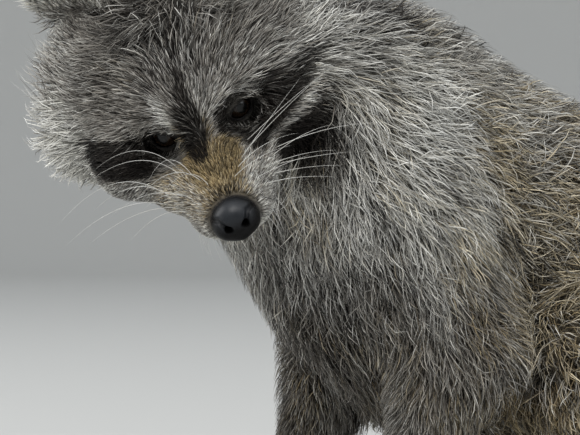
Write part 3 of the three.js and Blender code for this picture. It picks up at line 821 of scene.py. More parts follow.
def marks_at(s):
    """Dark, pale and warm in columns, and bare, each from 0 to 1, for each surveyed point."""
    share, flank = s.shares, flank_share(s.b)
    u, v, w = s.b.T
    high = ramp(w, 170, 285) * fall(np.abs(v), 8, 66)       # along the spine
    mottle = drift(s.p, 46) + 0.7 * drift(s.p, 17, 2)
    dark = np.clip(0.12 + 0.26 * high + 0.18 * mottle, 0, 1)
    breast = ramp(u, 175, 225) * fall(w, 120, 185)
    dark = np.maximum(dark, 0.42 * breast)
    dark = dark + 0.18 * flank + 0.30 * ramp(u, 150, 200) * ramp(w, 242, 270)
    front = ramp(u, 130, 205) * ramp(np.abs(v), 20, 60) * ramp(w, 120, 175)
    front = front * (1 - 0.95 * ramp(w, 242, 270))
    pale = 0.22 + 0.35 * ramp(w, 80, 150) + 0.35 * front + 0.14 * drift(s.p, 60, 1) - 0.16 * high
    pale = np.clip(pale + 0.10 * flank, 0, 1)
    pale = np.maximum(pale, 0.5 * fall(w, 20, 75) * fall(u, 150, 190))
    warm = np.clip(0.14 + 0.46 * flank + 0.16 * drift(s.p, 50, 2), 0, 1)

    marks = blend(np.stack([dark, pale, warm]), np.stack(head_marks(s.h)), share["head"])
    # Dark throat hair with painted shadow under the cheeks, laid over head, neck and trunk alike.
    throat_dark_and_shadow = throat_hair_and_shadow(s.h)
    marks = np.stack([np.maximum(marks[0], throat_dark_and_shadow), marks[1] * (1 - throat_dark_and_shadow), marks[2] * (1 - 0.5 * throat_dark_and_shadow)])
    arms, legs = (sum(share[f"{leg}_{name}"] for name in SIDES) for leg in ("forearm", "shank"))
    marks[0] = blend(marks[0], 0.3, arms)
    marks[1] = blend(marks[1], 0.45, legs)
    ringed = ring_share(s.far)
    marks = blend(marks, np.stack([ringed, 0.42 * (1 - ringed), 0.35 * (1 - ringed)]), share["tail"])
    beside_ear = s.by_ear * ramp(np.abs(s.h[:, 0]), 44, 58) * share["head"]
    marks[1] = np.maximum(marks[1], 0.5 * beside_ear)
    rim = ramp(s.ear_edge, 0.5, 0.8)
    marks = blend(marks, np.stack([0.16 * (1 - rim), 0.56 + 0.44 * rim, np.full_like(rim, 0.12)]), s.ear)
    marks[:2] = blend(marks[:2], np.array([[0.04], [0.5]]), s.paw)
    return np.clip(marks.T, 0, 1), np.clip(s.bare, 0, 1)


# %% [markdown]
# ## The lie of the coat
#
# Hair on the face streams away from the nose and the bridge, over the crown to the
# ears and out into the ruffs. On the trunk it runs from the neck to the tail and down
# the flanks, on legs towards the paws, and on the tail towards its tip.

# %% Directions
FACE_CENTRE = [-2.0, -17.0, 3.0]
NOSE_TIP = [0.0, -52.0, -26.0]
UPPER_LEG_WAYS = {"thigh": [-0.75, 0, -0.8], "upper_arm": [-0.55, 0, -0.9]}


def lie_of_coat(s):
    h, b, share = s.h, s.b, s.shares
    from_bridge = unit(h - FACE_CENTRE)
    from_nose = unit(h - NOSE_TIP)
    up_face = ramp(h[:, 1], -26, -8)[:, None]
    radial = blend(from_nose, from_bridge, up_face)
    radial = radial + np.array([0, 0.25, 0]) * ramp(norm(h), 30, 90)[:, None]
    low_cheek = (ramp(-h[:, 2], 5, 45) * ramp(np.abs(h[:, 0]), 20, 55))[:, None]
    radial = radial + low_cheek * np.array([0, 0.2, -0.5])
    for side in (LEFT, RIGHT):
        away = h - sided(EYE_CENTRE, side) - unit(sided(GAZE, side)) * EYE_RADIUS
        close = fall(norm(away), 12, 19)[:, None]
        away = unit(away)
        inward = np.minimum((radial * away).sum(1, keepdims=True), 0)
        beside = unit(np.cross(sided(GAZE, side), away))
        beside = beside * np.where((radial * beside).sum(1, keepdims=True) < 0, -1, 1)
        radial = radial + close * (0.12 * away - inward * away - 0.8 * inward * beside)
    way = HEAD.way(radial) * share["head"][:, None]
    side = ramp(np.abs(b[:, 1]), 20, 75)
    low = fall(b[:, 2], 90, 210)
    down = 0.12 + side * (0.55 + 0.75 * low)
    front = ramp(b[:, 0], 205, 250)
    trunk = np.stack([-(1 - 0.6 * front), np.sign(b[:, 1]) * 0.12 * side, -(down + 1.3 * front)], 1)
    way = way + BODY.way(unit(trunk)) * (share["trunk"] + share["neck"])[:, None]
    for name, side in SIDES.items():
        for leg, (start, end, *_) in LEGS.items():
            down_leg = unit(body_sided(end, side) - body_sided(start, side)) + [-0.35, 0, -0.25]
            pull = UPPER_LEG_WAYS.get(leg, down_leg)
            way = way + BODY.way(unit(pull)) * share[f"{leg}_{name}"][:, None]
    way = way + s.tail_way * share["tail"][:, None]
    way = blend(way, s.ear_way, s.ear[:, None])
    return unit(blend(way, s.paw_way, s.paw[:, None]))


# %% [markdown]
# ## Growing tufts
#
# Each tuft is a slim closed spike with three sides: it leaves the skin, leans over
# the way the coat lies, follows the body's curve and ends in a point at the coat's
# outer surface. Neighbours lean together into locks. Particle hair would be quicker
# to set up, but it is no solid shape. Here every tuft's points are worked out at once
# as arrays, and each tuft keeps its place on the skin for its patch in the bake map.

# %% Roots on the skin
DEPTHS = [1.7, 3, 6, 10, 16, 24]                            # of the coat, in mm
TUFTS_PER_MM2 = [2.4, 2.0, 1.15, 0.66, 0.37, 0.31]
TUFT_LENGTHS = [5.2, 8, 14, 22, 33, 38]
TUFT_THICKNESSES = [0.40, 0.44, 0.50, 0.56, 0.62, 0.70]
triangles = np.concatenate([skin_faces[:, [0, 1, 2]], skin_faces[:, [0, 2, 3]]])
corners = skin_points[triangles]
crossed = np.cross(corners[:, 1] - corners[:, 0], corners[:, 2] - corners[:, 0])
areas = norm(crossed) / 2
centres = corners.mean(1)


def turned_away(p):
    """1 on the animal's far side, where fewer and thicker tufts do the same work."""
    return ramp(p[:, 1], 0, 120)


quad_centres = skin_points[skin_faces].mean(1)
at_quads = Survey(quad_centres)
quad_depth = coat_depth(quad_centres, at_quads.shares, at_quads.far)
quad_depth = blend(quad_depth, 1.9, at_quads.paw)
quad_depth = blend(quad_depth, 2.3, at_quads.ear)
density = np.interp(quad_depth, DEPTHS, TUFTS_PER_MM2) * fall(at_quads.bare, 0.3, 0.7)
density = density * ramp(quad_centres[:, 2], 1.0, 3.5)
density = density * (1 - 0.68 * at_quads.paw) * (1 - 0.35 * at_quads.ear)
density = density * (1 - 0.45 * turned_away(quad_centres) * ramp(quad_depth, 3, 12))
wanted = areas * np.tile(density, 2)
print("skin area", round(float(areas.sum()) / 100), "cm2, tufts wanted", round(float(wanted.sum())))

rng = np.random.default_rng(11)
order = np.lexsort((triangles[:, 0], np.round(centres[:, 0] / 12), np.round(centres[:, 1] / 12)))
running = np.cumsum(wanted[order])
total_tufts = int(running[-1])
shots = (np.arange(total_tufts) + rng.random(total_tufts)) * (running[-1] / total_tufts)
chosen = order[np.minimum(np.searchsorted(running, shots), len(order) - 1)]
a, b = rng.random(total_tufts), rng.random(total_tufts)
fold = a + b > 1
a[fold], b[fold] = 1 - a[fold], 1 - b[fold]
first, second, third = corners[chosen].transpose(1, 0, 2)
roots = first + a[:, None] * (second - first) + b[:, None] * (third - first)
root_depth = np.tile(quad_depth, 2)[chosen]
point_normals = np.zeros_like(skin_points)
for n in range(3):
    np.add.at(point_normals, triangles[:, n], crossed)
soft = unit(point_normals)[triangles[chosen]]
normals = unit(soft[:, 0] * (1 - a - b)[:, None] + soft[:, 1] * a[:, None] + soft[:, 2] * b[:, None])
print("tufts", total_tufts)

# %% Shape of each tuft
TUFTS_PER_LOCK = 9
at_roots = Survey(roots)
on_head, on_tail = at_roots.shares["head"], at_roots.shares["tail"]
flow = lie_of_coat(at_roots)
flow = unit(flow - normals * (flow * normals).sum(1)[:, None])
across = np.cross(normals, flow)
tangle = np.interp(root_depth, [1.7, 5, 12, 16], [0.10, 0.16, 0.30, 0.40])
tangle = tangle * (1 - 0.45 * on_tail) * (1 + 0.6 * flank_share(at_roots.b) * (1 - on_head))
swing = rng.normal(0, 1, total_tufts) * tangle + drift(roots, 17, 1) * tangle * 0.9
flow = flow * np.cos(swing)[:, None] + across * np.sin(swing)[:, None]
across = np.cross(normals, flow)

length = np.interp(root_depth, DEPTHS, TUFT_LENGTHS)
length = length * rng.uniform(0.72, 1.22, total_tufts) * (1 - 0.25 * on_tail)
length = length * (1 - 0.45 * at_roots.by_ear) * (1 - 0.45 * at_roots.by_eye)
ear_length = 6.0 + 3.0 * ramp(at_roots.ear_edge, 0.6, 0.95)
length = np.where(at_roots.ear > 0.5, ear_length * rng.uniform(0.7, 1.3, total_tufts), length)
height = np.minimum(root_depth * rng.uniform(0.5, 1.15, total_tufts), length * 0.85)
thickness = np.interp(root_depth, DEPTHS, TUFT_THICKNESSES)
thickness = thickness * rng.uniform(0.65, 1.4, total_tufts) * (1 + 0.3 * turned_away(roots))

heads = np.arange(0, total_tufts, TUFTS_PER_LOCK)
tree = kdtree.KDTree(len(heads))
for n, spot in enumerate(roots[heads]):
    tree.insert(spot, n)
tree.balance()
leader = np.array([heads[tree.find(spot)[1]] for spot in roots])
print("tufts lean together in", len(heads), "locks")

# %% [markdown]
# Each tuft's centre line is drawn first, then moved up or down until its points
# stand at the right height over the skin, which makes the coat hug the body.

# %% Centre lines
LOWEST = 0.4        # no hair comes closer to the floor
STRAIGHT = 0.86     # a tuft that ends nearer its root than this share of its length is redrawn


def centre_lines(n, places):
    root, up, way, side = roots[n], normals[n], flow[n], across[n]
    reach = np.sqrt(np.maximum(length[n] ** 2 - height[n] ** 2, 1))
    lean = roots[leader[n]] - root
    lean = lean - up * (lean * up).sum(1)[:, None]
    lean = lean - way * np.clip((lean * way).sum(1), -4, 4)[:, None]
    curl = rng.normal(0, 1, len(n)) * length[n] * np.interp(root_depth[n], [3, 16], [0.02, 0.065])
    turn_at = rng.uniform(0, 2 * np.pi, len(n))
    lines = [root - up * 0.3]
    for t in places[1:]:
        rise = 1 - (1 - t) ** 2.1
        spot = root + way * (reach * t)[:, None] + up * (height[n] * rise)[:, None]
        spot = spot + lean * (0.5 * t**1.4)
        spot = spot + side * (curl * np.sin(turn_at + t * 3.2) * t)[:, None]
        value, slope = slope_of(lambda p: in_chunks(skin_surface, p), spot, 0.8)
        gap = value - height[n] * rise
        fix = slope * (gap / np.maximum((slope * slope).sum(1), 0.35))[:, None]
        fix = fix * np.minimum(1, 0.45 * length[n] / np.maximum(norm(fix), 1e-6))[:, None]
        spot = spot - fix * 0.9
        spot[:, 2] = np.maximum(spot[:, 2], LOWEST)
        lines.append(spot)
    lines = np.stack(lines, 1)
    steps = norm(np.diff(lines, axis=1)).sum(1)
    bent = norm(lines[:, -1] - lines[:, 0]) < STRAIGHT * steps
    lay = way * (0.6 * reach)[:, None] + up * (0.6 * height[n])[:, None]
    straight = root[:, None] + lay[:, None] * places[None, :, None]
    lines[bent, 1:] = straight[bent, 1:]
    lines[:, 1:, 2] = np.maximum(lines[:, 1:, 2], LOWEST)
    return lines


# %% Solid tufts
def solid_tufts(lines, n):
    """Points and faces of closed three-sided spikes: a root, rings of three and a tip."""
    count, stations = lines.shape[:2]
    rings = stations - 2
    along = unit(np.gradient(lines, axis=1))
    side = unit(np.cross(normals[n][:, None, :], along))
    lift = np.cross(along, side)
    points = np.zeros((count, rings * 3 + 2, 3))
    points[:, 0], points[:, -1] = lines[:, 0], lines[:, -1]
    for k, taper in enumerate([1.0, 0.7][:rings], start=1):
        half = (thickness[n] * taper / 2)[:, None]
        for corner, away in enumerate((side[:, k] * half, lift[:, k] * half * 0.75, -side[:, k] * half)):
            points[:, 3 * k - 2 + corner] = lines[:, k] + away
    faces = []
    for m in range(3):
        here, after = m + 1, (m + 1) % 3 + 1
        faces.append([0, after, here])
        for k in range(0, 3 * (rings - 1), 3):
            faces += [[here + k, after + k, here + k + 3], [after + k, after + k + 3, here + k + 3]]
        faces.append([here + 3 * (rings - 1), after + 3 * (rings - 1), rings * 3 + 1])
    return points, np.array(faces)


def hair_by_hair(lines, chance):
    """Marks read towards each tuft's tip, and sharpened so that it is mostly one colour."""
    spot = lines[:, -2] * 0.75 + lines[:, -1] * 0.25
    marks = in_chunks(lambda p: marks_at(Survey(p))[0], spot)
    sharp = ramp(marks, chance - 0.22, chance + 0.22)
    return marks + (sharp - marks) * np.array([0.85, 0.75, 0.7])


LONG_PLACES = np.array([0.0, 0.34, 0.70, 1.0])      # stations along a tuft: root, rings and tip
SHORT_PLACES = np.array([0.0, 0.45, 1.0])
is_long = (root_depth > 4.5) & (at_roots.paw < 0.5) & (at_roots.ear < 0.5)
drawn = [(np.nonzero(mask)[0], places, centre_lines(np.nonzero(mask)[0], places))
         for mask, places in ((is_long, LONG_PLACES), (~is_long, SHORT_PLACES))]
chances = rng.uniform(0.12, 0.88, (total_tufts, 3))
kinds = [(n, places, *solid_tufts(lines, n), hair_by_hair(lines, chances[n])) for n, places, lines in drawn]
for n, places, points, faces, marks in kinds:
    print(len(n), "tufts of", len(faces), "triangles")

# %% [markdown]
# ## Where each tuft lies in the bake map
#
# Every tuft needs a small patch of its own in a flat map, for baking the coat's colours.
# The map is an unwrap of the skin: the head is spread from the face
# outwards like a globe seen from its pole, trunk, legs and tail are cut along one
# side and rolled out, and paws and ears are pressed flat.

# %% Unwrap of the skin
PATCH = 0.003


def rolled(points, centre, axis, first, reach):
    """Angle round an axis, from 0 to 1, and place along it."""
    axis, first = unit(axis), np.asarray(first, float)
    first = unit(first - (first * axis).sum(-1, keepdims=True) * axis)
    second = np.cross(axis, first)
    away = points - centre
    angle = np.arctan2((away * second).sum(1), (away * first).sum(1)) / (2 * np.pi) + 0.5
    return np.stack([angle, reach], 1)


def unwrap(s, kind, name):
    if kind == "head":
        d = unit(s.h - np.array([0, 38, -4]))
        polar = np.arccos(np.clip(-d[:, 1], -1, 1)) / np.pi
        ring = unit(d[:, [0, 2]] + 1e-6)
        return 0.5 + 0.5 * ring * polar[:, None]
    if kind == "trunk":
        u, v, w = s.b.T
        middle = np.interp(u, [-80, 60, 180, 300], [92, 125, 170, 200])
        return np.stack([np.arctan2(v, w - middle) / (2 * np.pi) + 0.5, (u + 110) / 460], 1)
    if kind == "tail":
        share = tail_lengths / TAIL_LENGTH
        centre = np.stack([np.interp(s.far, share, tail_points[:, n]) for n in range(3)], 1)
        return rolled(s.p, centre, s.tail_way, [[0, 0, 1.0]], s.far)
    if kind in ("arm", "hind"):
        side = SIDES[name]
        upper, lower = ("upper_arm", "forearm") if kind == "arm" else ("thigh", "shank")
        near_lower = s.shares[f"{lower}_{name}"] > s.shares[f"{upper}_{name}"]
        result = np.zeros((len(s.p), 2))
        for leg, mask, base in ((upper, ~near_lower, 0), (lower, near_lower, 0.5)):
            start, end = leg_ends(leg, side)
            share = leg_share(s.p, leg, side)
            centre = start + share[:, None] * (end - start)
            flat = rolled(s.p, centre, end - start, [[0, 0.3, 1.0]], base + 0.5 * share)
            result[mask] = flat[mask]
        return result
    if kind == "paw":
        q = paws[name][0].into(s.p)
        top = (q[:, 2] > 7).astype(float)
        return np.stack([(q[:, 0] + 30) / 150, (q[:, 1] + 40) / 160 + 0.5 * top], 1)
    leaf, up, through = in_ear(s.p, name)
    return np.stack([(leaf + 1.2) / 2.4, (up + 1.2) / 4.8 + 0.5 * (through > 0)], 1)


# %% Sharing the tufts out
region_number = np.argmax(np.stack([at_roots.shares[name] for name in REGIONS]), 0)
region_of = np.array(REGIONS)[region_number]
parts = {}
taken = np.zeros(total_tufts, bool)


def share_out(name, kind, of, mask):
    """Gives a part those of its tufts that no earlier part has."""
    parts[name] = (kind, of, mask & ~taken)
    taken[mask] = True


for name, side in SIDES.items():
    mine = (at_roots.h[:, 0] * side > -3) & (at_roots.ear > 0.5)
    share_out("coat_ear_" + name, "ear", name, mine)
for name in paws:
    close = np.isin(np.arange(total_tufts), close_to(roots, *round_paw(name)))
    share_out("coat_" + name, "paw", name, close & (at_roots.paw > 0.5))
is_head = region_of == "head"
share_out("coat_face", "head", None, is_head & (at_roots.h[:, 1] < 24))
for name, side in SIDES.items():
    share_out("coat_head_" + name, "head", None, is_head & (at_roots.h[:, 0] * side >= 0))
    share_out("coat_arm_" + name, "arm", name, np.isin(region_of, [f"upper_arm_{name}", f"forearm_{name}"]))
    share_out("coat_hind_" + name, "hind", name, np.isin(region_of, [f"thigh_{name}", f"shank_{name}"]))
share_out("coat_tail", "tail", None, region_of == "tail")
share_out("coat_rump", "trunk", None, at_roots.b[:, 0] < 20)
for name, side in SIDES.items():
    mine = at_roots.b[:, 1] * side >= 0
    share_out("coat_shoulder_" + name, "trunk", None, mine & (at_roots.b[:, 0] > 150))
    share_out("coat_flank_" + name, "trunk", None, mine)

# %% Coat pieces
MOST = 190000       # triangles in one coat piece
shade = np.clip(0.5 + 0.21 * rng.normal(size=total_tufts) + 0.10 * drift(roots, 9, 2), 0, 1)
fine = rng.random(total_tufts)
coat_pieces = []


def coat_piece(name, kind, of, members):
    """One mesh of the given tufts, with their marks, their own shades and their bake map."""
    flat = 0.01 + 0.98 * np.clip(unwrap(Survey(roots[members]), kind, of), 0, 1)
    columns, start = [], 0
    for numbers, places, all_points, template, all_marks in kinds:
        rows = np.nonzero(np.isin(members, numbers))[0]
        n = members[rows]
        here = np.searchsorted(numbers, n)
        size = all_points.shape[1]
        along = np.tile([0.0, *np.repeat(places[1:-1], 3), 1.0], len(n))
        corner = np.tile([1, *[0, 1, 2] * (len(places) - 2), 1], len(n))
        offset = np.stack([corner / 2 - 0.5, along - 0.5], 1) * PATCH
        columns.append((
            all_points[here].reshape(-1, 3),
            (template[None] + (np.arange(len(n)) * size)[:, None, None]).reshape(-1, 3) + start,
            np.repeat(all_marks[here], size, axis=0),
            np.stack([along, np.repeat(shade[n], size), np.repeat(fine[n], size)], 1),
            np.repeat(flat[rows], size, axis=0) + offset,
        ))
        start += len(n) * size
    points, faces, marks, lock, spots = (np.concatenate(column) for column in zip(*columns))
    piece = make_mesh(name, points, faces)
    paint(piece, "marks", marks)
    paint(piece, "lock", lock)
    layer = piece.data.uv_layers.new(name="OFBake")
    layer.data.foreach_set("uv", spots[faces.ravel()].astype(np.float32).ravel())
    coat_pieces.append(piece)


for name, (kind, of, mask) in parts.items():
    members = np.nonzero(mask)[0]
    cost = sum(np.isin(members, n).sum() * len(faces) for n, _, _, faces, _ in kinds)
    pieces_needed = int(np.ceil(cost / MOST))
    for n in range(pieces_needed):
        share = members[n::pieces_needed]
        coat_piece(name if pieces_needed == 1 else f"{name}_{n + 1}", kind, of, share)
print("coat pieces", [(piece.name, len(piece.data.polygons)) for piece in coat_pieces])

# %% [markdown]
# ## The skin's mesh
#
# The skin carries the same marks as the coat, as numbers on its points, with one
# more for where it is bare: pads, finger tips, lid rims and round the nose.

# %% Skin piece
skin = make_mesh("skin", skin_points, skin_faces)
at_skin = Survey(skin_points)
skin_marks, skin_bare = marks_at(at_skin)
depth = coat_depth(skin_points, at_skin.shares, at_skin.far) * (1 - at_skin.paw) * (1 - at_skin.ear)
paint(skin, "marks", skin_marks)
paint(skin, "bare", skin_bare)
paint(skin, "shadow", ramp(depth, 2, 11))
FLESH = ["head", "lower_jaw", "neck", "chest", "belly", "rump", "tail_1", "tail_2", "tail_3", "tail_4"]
for name in SIDES:
    FLESH += [f"{part}_{name}" for part in ("ear", "upper_arm", "forearm", "hand", "thigh", "shank", "foot")]
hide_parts(*FLESH)

# %% [markdown]
# ## Nose, eyes, whiskers and claws
#
# The nose pad is a small field of its own on a fine grid: a rounded pad with a wing
# round each nostril and a groove below. An eyeball is a ball with a slightly bulging
# cornea. Whiskers are long tapered bristles in rows, and claws are curved horns.

# %% Nose
def nose_shape(p):
    q = HEAD.into(p)
    pad = [egg(q, OWN, [0, -49.5, -28], [10.4, 10.4, 8.8]), egg(q, OWN, [0, -52, -35], [7.2, 7.8, 6.6])]
    cuts = [limb(q, [0, -63.5, -33], [0, -58.5, -43], 0.6, 0.9)]
    for side in (LEFT, RIGHT):
        at = lambda point: sided(point, side)
        pad.append(egg(q, OWN, at([6.6, -51.5, -31]), [6.4, 8.4, 7.6]))
        cuts.append(limb(q, at([4.6, -62.0, -29.4]), at([4.9, -53, -29.0]), 2.2, 1.8))
        slit = [[5.0, -60.6, -28.2], [8.6, -55.5, -23.6], [11.8, -50.5, -25.0], [13.4, -47.5, -29.5]]
        for start, end in zip(slit, slit[1:]):
            cuts.append(limb(q, at(start), at(end), 1.05, 1.05))
    field = melt(4, pad)
    for cut in cuts:
        field = -smooth_min(-field, cut, 1.3)
    return field


middle = HEAD.out([0, -51, -31])
nose_lines = tuple(grid_lines([(m - 17, 0), (m + 17, 0.5)]) for m in middle)
nose_points, nose_faces = surface(nose_shape, nose_lines)
nose = make_mesh("nose_pad", nose_points, nose_faces)
nose_at = HEAD.into(nose_points)
# The top of the pad, where it faces up: it gets a real clear coat and a painted bluish reflection in its
# colour.
paint(nose, "top_gloss_and_reflection", ramp(nose_at[:, 2] - 0.55 * nose_at[:, 1], 1, 11))
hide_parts("nose")
print("nose", len(nose_faces), "faces")

# %% Eyes
def ball(radius, bulge, columns=64, rows=48):
    """A ball whose front, towards +z, bulges out a little as the cornea does."""
    polar = np.linspace(0, np.pi, rows + 1)[1:-1]
    round_ = np.linspace(0, 2 * np.pi, columns, endpoint=False)
    ring = radius + bulge * fall(polar, 0.35, 0.75)
    x = (ring * np.sin(polar))[:, None] * np.cos(round_)
    y = (ring * np.sin(polar))[:, None] * np.sin(round_)
    z = np.repeat((ring * np.cos(polar))[:, None], columns, axis=1)
    poles = [[0, 0, radius + bulge], [0, 0, -radius]]
    points = np.concatenate([np.stack([x, y, z], -1).reshape(-1, 3), poles])
    at = lambda row, column: row * columns + column % columns
    faces = []
    for row in range(rows - 2):
        for n in range(columns):
            faces.append([at(row, n), at(row + 1, n), at(row + 1, n + 1)])
            faces.append([at(row, n), at(row + 1, n + 1), at(row, n + 1)])
    top, bottom = len(points) - 2, len(points) - 1
    for n in range(columns):
        faces += [[top, at(0, n), at(0, n + 1)], [bottom, at(rows - 2, n + 1), at(rows - 2, n)]]
    return points, np.array(faces)


eye_pieces = []
for name in SIDES:
    points, faces = ball(EYE_RADIUS - 0.15, 0.35)
    piece = make_mesh("eyeball_" + name, eye_places[name].out(points), faces)
    paint(piece, "from_pupil", np.degrees(np.arccos(np.clip(unit(points)[:, 2], -1, 1))) / 90)
    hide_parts("eye_" + name)
    eye_pieces.append(piece)

# %% Tapered tubes
def tube(line, radii, sides):
    """A closed tube round a line of points, ending in its last point."""
    line, radii = np.asarray(line, float), np.asarray(radii, float)
    along = unit(np.gradient(line, axis=0))
    guide = np.array([0.31, 0.17, 0.93])
    side = unit(np.cross(along, guide))
    lift = np.cross(along, side)
    angle = np.linspace(0, 2 * np.pi, sides, endpoint=False)
    rings = [c + r * (np.cos(angle)[:, None] * s + np.sin(angle)[:, None] * u)
             for c, r, s, u in zip(line[:-1], radii, side, lift)]
    points = np.concatenate(rings + [line[-1:], line[:1]])
    tip, root = len(points) - 2, len(points) - 1
    faces = []
    for k in range(len(line) - 2):
        for m in range(sides):
            a, b = k * sides + m, k * sides + (m + 1) % sides
            faces += [[a, b, b + sides], [a, b + sides, a + sides]]
    last = (len(line) - 2) * sides
    for m in range(sides):
        faces += [[last + m, last + (m + 1) % sides, tip], [(m + 1) % sides, m, root]]
    return points, np.array(faces)


def joined(tubes):
    """The points and faces of many tubes as those of one mesh."""
    start, points, faces = 0, [], []
    for p, f in tubes:
        points.append(p)
        faces.append(f + start)
        start += len(p)
    return np.concatenate(points), np.concatenate(faces)


# %% Whiskers
def on_skin(y, z, side):
    """The place where a line straight out from the muzzle's middle leaves the skin."""
    x = np.linspace(4, 46, 170)
    line = HEAD.out(np.stack([x * side, np.full_like(x, y), np.full_like(x, z)], 1))
    inside = skin_surface(line) < 0
    return np.array([x[np.nonzero(inside)[0][-1]] * side, y, z])


def bristle_line(root, reach, out, bend, side):
    t = np.linspace(0, 1, 14)[:, None]
    sideways = np.array([side, 1, 1])
    return root + ((t - 0.05) * unit(out) * reach + t**2 * np.asarray(bend) * reach) * sideways


whisker_rng = np.random.default_rng(21)
WHISKER_WAYS = {
    LEFT: ([0.87, 0.12, 0.50], [0.97, -0.14, 0.02], [-0.02, -0.08, -0.17]),
    RIGHT: ([0.20, 0.38, 0.86], [0.62, 0.22, 0.62], [0.35, -0.33, -0.56]),
}
whiskers = []
for side in (LEFT, RIGHT):
    highest, lowest, droop = (np.array(way) for way in WHISKER_WAYS[side])
    for row in range(3):
        for column in range(5 - row):
            root = on_skin(-35 + 4.8 * column, -16 + 1.2 * column - 5.6 * row, side)
            reach = (44 + 9 * column) * (1 - 0.07 * row) * whisker_rng.uniform(0.85, 1.12)
            out = highest + (lowest - highest) * (row + 0.2) / 2 + whisker_rng.normal(0, 0.09, 3)
            bend = droop + whisker_rng.normal(0, 0.08, 3)
            line = bristle_line(root, reach, out, bend, side)
            radii = 0.21 * (1 - 0.9 * np.linspace(0, 1, len(line)))
            whiskers.append(tube(HEAD.out(line), radii, 5))
    for n in range(8):
        root = on_skin(-47 + 2.2 * n, -36.5, side)
        out = np.array([0.30, -0.42, -0.85]) + whisker_rng.normal(0, 0.12, 3)
        line = bristle_line(root, whisker_rng.uniform(11, 18), out, [-0.15, 0.05, -0.1], side)
        whiskers.append(tube(HEAD.out(line), 0.14 * (1 - 0.85 * np.linspace(0, 1, len(line))), 5))
points, faces = joined(whiskers)
whisker_piece = make_mesh("whiskers", points, faces)
print("whiskers", len(whiskers))

# %% Claws
claw_pieces = []
for name, (place, paw, digits) in paws.items():
    horns = []
    for root, tip, angle in digits:
        ahead = np.array([math.cos(angle), math.sin(angle), 0])
        start = tip + ahead * (paw["radius"] * 0.7) + [0, 0, 1.4]
        t = np.linspace(0, 1, 12)[:, None]
        arch = 1.9 * np.sin(np.pi * t * 0.75) - 3.6 * t**2
        line = start + ahead * t * 10.5 + np.array([0, 0, 1.0]) * arch
        line[:, 2] = np.maximum(line[:, 2], 0.9)
        horns.append(tube(place.out(line), 1.75 * (1 - t[:, 0]) ** 0.6 + 0.12, 10))
    points, faces = joined(horns)
    piece = make_mesh("claws_" + name, points, faces)
    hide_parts(*[f"{name}_claw_{n}" for n in range(1, 6)])
    claw_pieces.append(piece)

# %% [markdown]
# ## Materials
#
# Two effects are used by more than one material, so they are node groups: the coat's
# colour, made from a place's marks and a tuft's own shade, and the fine pebbled grain
# of bare skin. The shader itself stays in each material.

# %% Node helpers
def put(socket, value):
    """Gives an input a constant, or links another node's output to it."""
    if isinstance(value, bpy.types.NodeSocket):
        socket.id_data.links.new(value, socket)
    else:
        socket.default_value = value


def fill(made, values):
    for key, value in values.items():
        put(made.inputs[key], value)


def node(tree, kind, values=(), **settings):
    made = tree.nodes.new("ShaderNode" + kind)
    for key, value in settings.items():
        setattr(made, key, value)
    fill(made, dict(values))
    return made


def mixed(tree, factor, first, second, blend_type="MIX"):
    """A mix of two colours. Here and below, each value is a constant or an output."""
    values = {0: factor, 6: first, 7: second}
    return node(tree, "Mix", values, data_type="RGBA", blend_type=blend_type).outputs[2]


def calculated(tree, operation, first, second=0.0, clamp=False):
    return node(tree, "Math", {0: first, 1: second}, operation=operation, use_clamp=clamp).outputs[0]


def stepped(tree, source, stops):
    """A colour ramp over a value, from (place, colour) stops."""
    made = node(tree, "ValToRGB", {0: source})
    elements = made.color_ramp.elements
    while len(elements) < len(stops):
        elements.new(0.5)
    for element, (place, colour) in zip(elements, stops):
        element.position = place
        element.color = (*colour, 1)
    return made.outputs[0]


def texture(tree, kind, values, **settings):
    """A texture that keeps to the object's own coordinates."""
    vector = node(tree, "TexCoord").outputs["Object"]
    return node(tree, kind, {"Vector": vector, **values}, **settings).outputs


def attribute(tree, name, output="Fac"):
    return node(tree, "Attribute", attribute_name=name).outputs[output]


def new_group(name, inputs, outputs):
    group = bpy.data.node_groups.new(name, "ShaderNodeTree")
    for title, kind, value in inputs:
        socket = group.interface.new_socket(title, in_out="INPUT", socket_type="NodeSocket" + kind)
        if value is not None:
            socket.default_value = value
    for title, kind in outputs:
        group.interface.new_socket(title, in_out="OUTPUT", socket_type="NodeSocket" + kind)
    return group, group.nodes.new("NodeGroupInput").outputs, group.nodes.new("NodeGroupOutput")


def new_material(name, **constants):
    material = bpy.data.materials.new(name)
    material.use_nodes = True
    tree = material.node_tree
    shader = next(n for n in tree.nodes if n.type == "BSDF_PRINCIPLED")
    fill(shader, {title.replace("_", " "): value for title, value in constants.items()})
    return material, tree, shader


def add_bump(tree, shader, height, strength, distance):
    bump = node(tree, "Bump", {"Strength": strength, "Distance": distance, "Height": height})
    put(shader.inputs["Normal"], bump.outputs["Normal"])


def give(material, *pieces):
    for piece in pieces:
        piece.data.materials.clear()
        piece.data.materials.append(material)


# %% Coat colour group
coat_colour, given, output = new_group(
    "Coat colour", [("Marks", "Color", None), ("Lock", "Color", None)], [("Colour", "Color")])
tree = coat_colour
dark, pale, warm = node(tree, "SeparateColor", {0: given["Marks"]}).outputs
along, own_shade, own_tip = node(tree, "SeparateColor", {0: given["Lock"]}).outputs
grizzled = stepped(tree, along, [(0.0, (0.040, 0.034, 0.030)), (0.30, (0.095, 0.083, 0.073)),
                                 (0.62, (0.290, 0.268, 0.240)), (0.95, (0.36, 0.34, 0.31))])
tip_colour = stepped(tree, own_tip, [(0.0, (0.022, 0.017, 0.015)), (0.36, (0.045, 0.036, 0.030)),
                                     (0.48, (0.30, 0.275, 0.24)), (0.80, (0.60, 0.585, 0.54))])
tan = stepped(tree, along, [(0.0, (0.06, 0.043, 0.024)), (0.5, (0.26, 0.185, 0.088)),
                            (1.0, (0.52, 0.415, 0.22))])
cream = stepped(tree, along, [(0.0, (0.22, 0.21, 0.185)), (0.45, (0.68, 0.665, 0.615)),
                              (1.0, (0.90, 0.895, 0.87))])
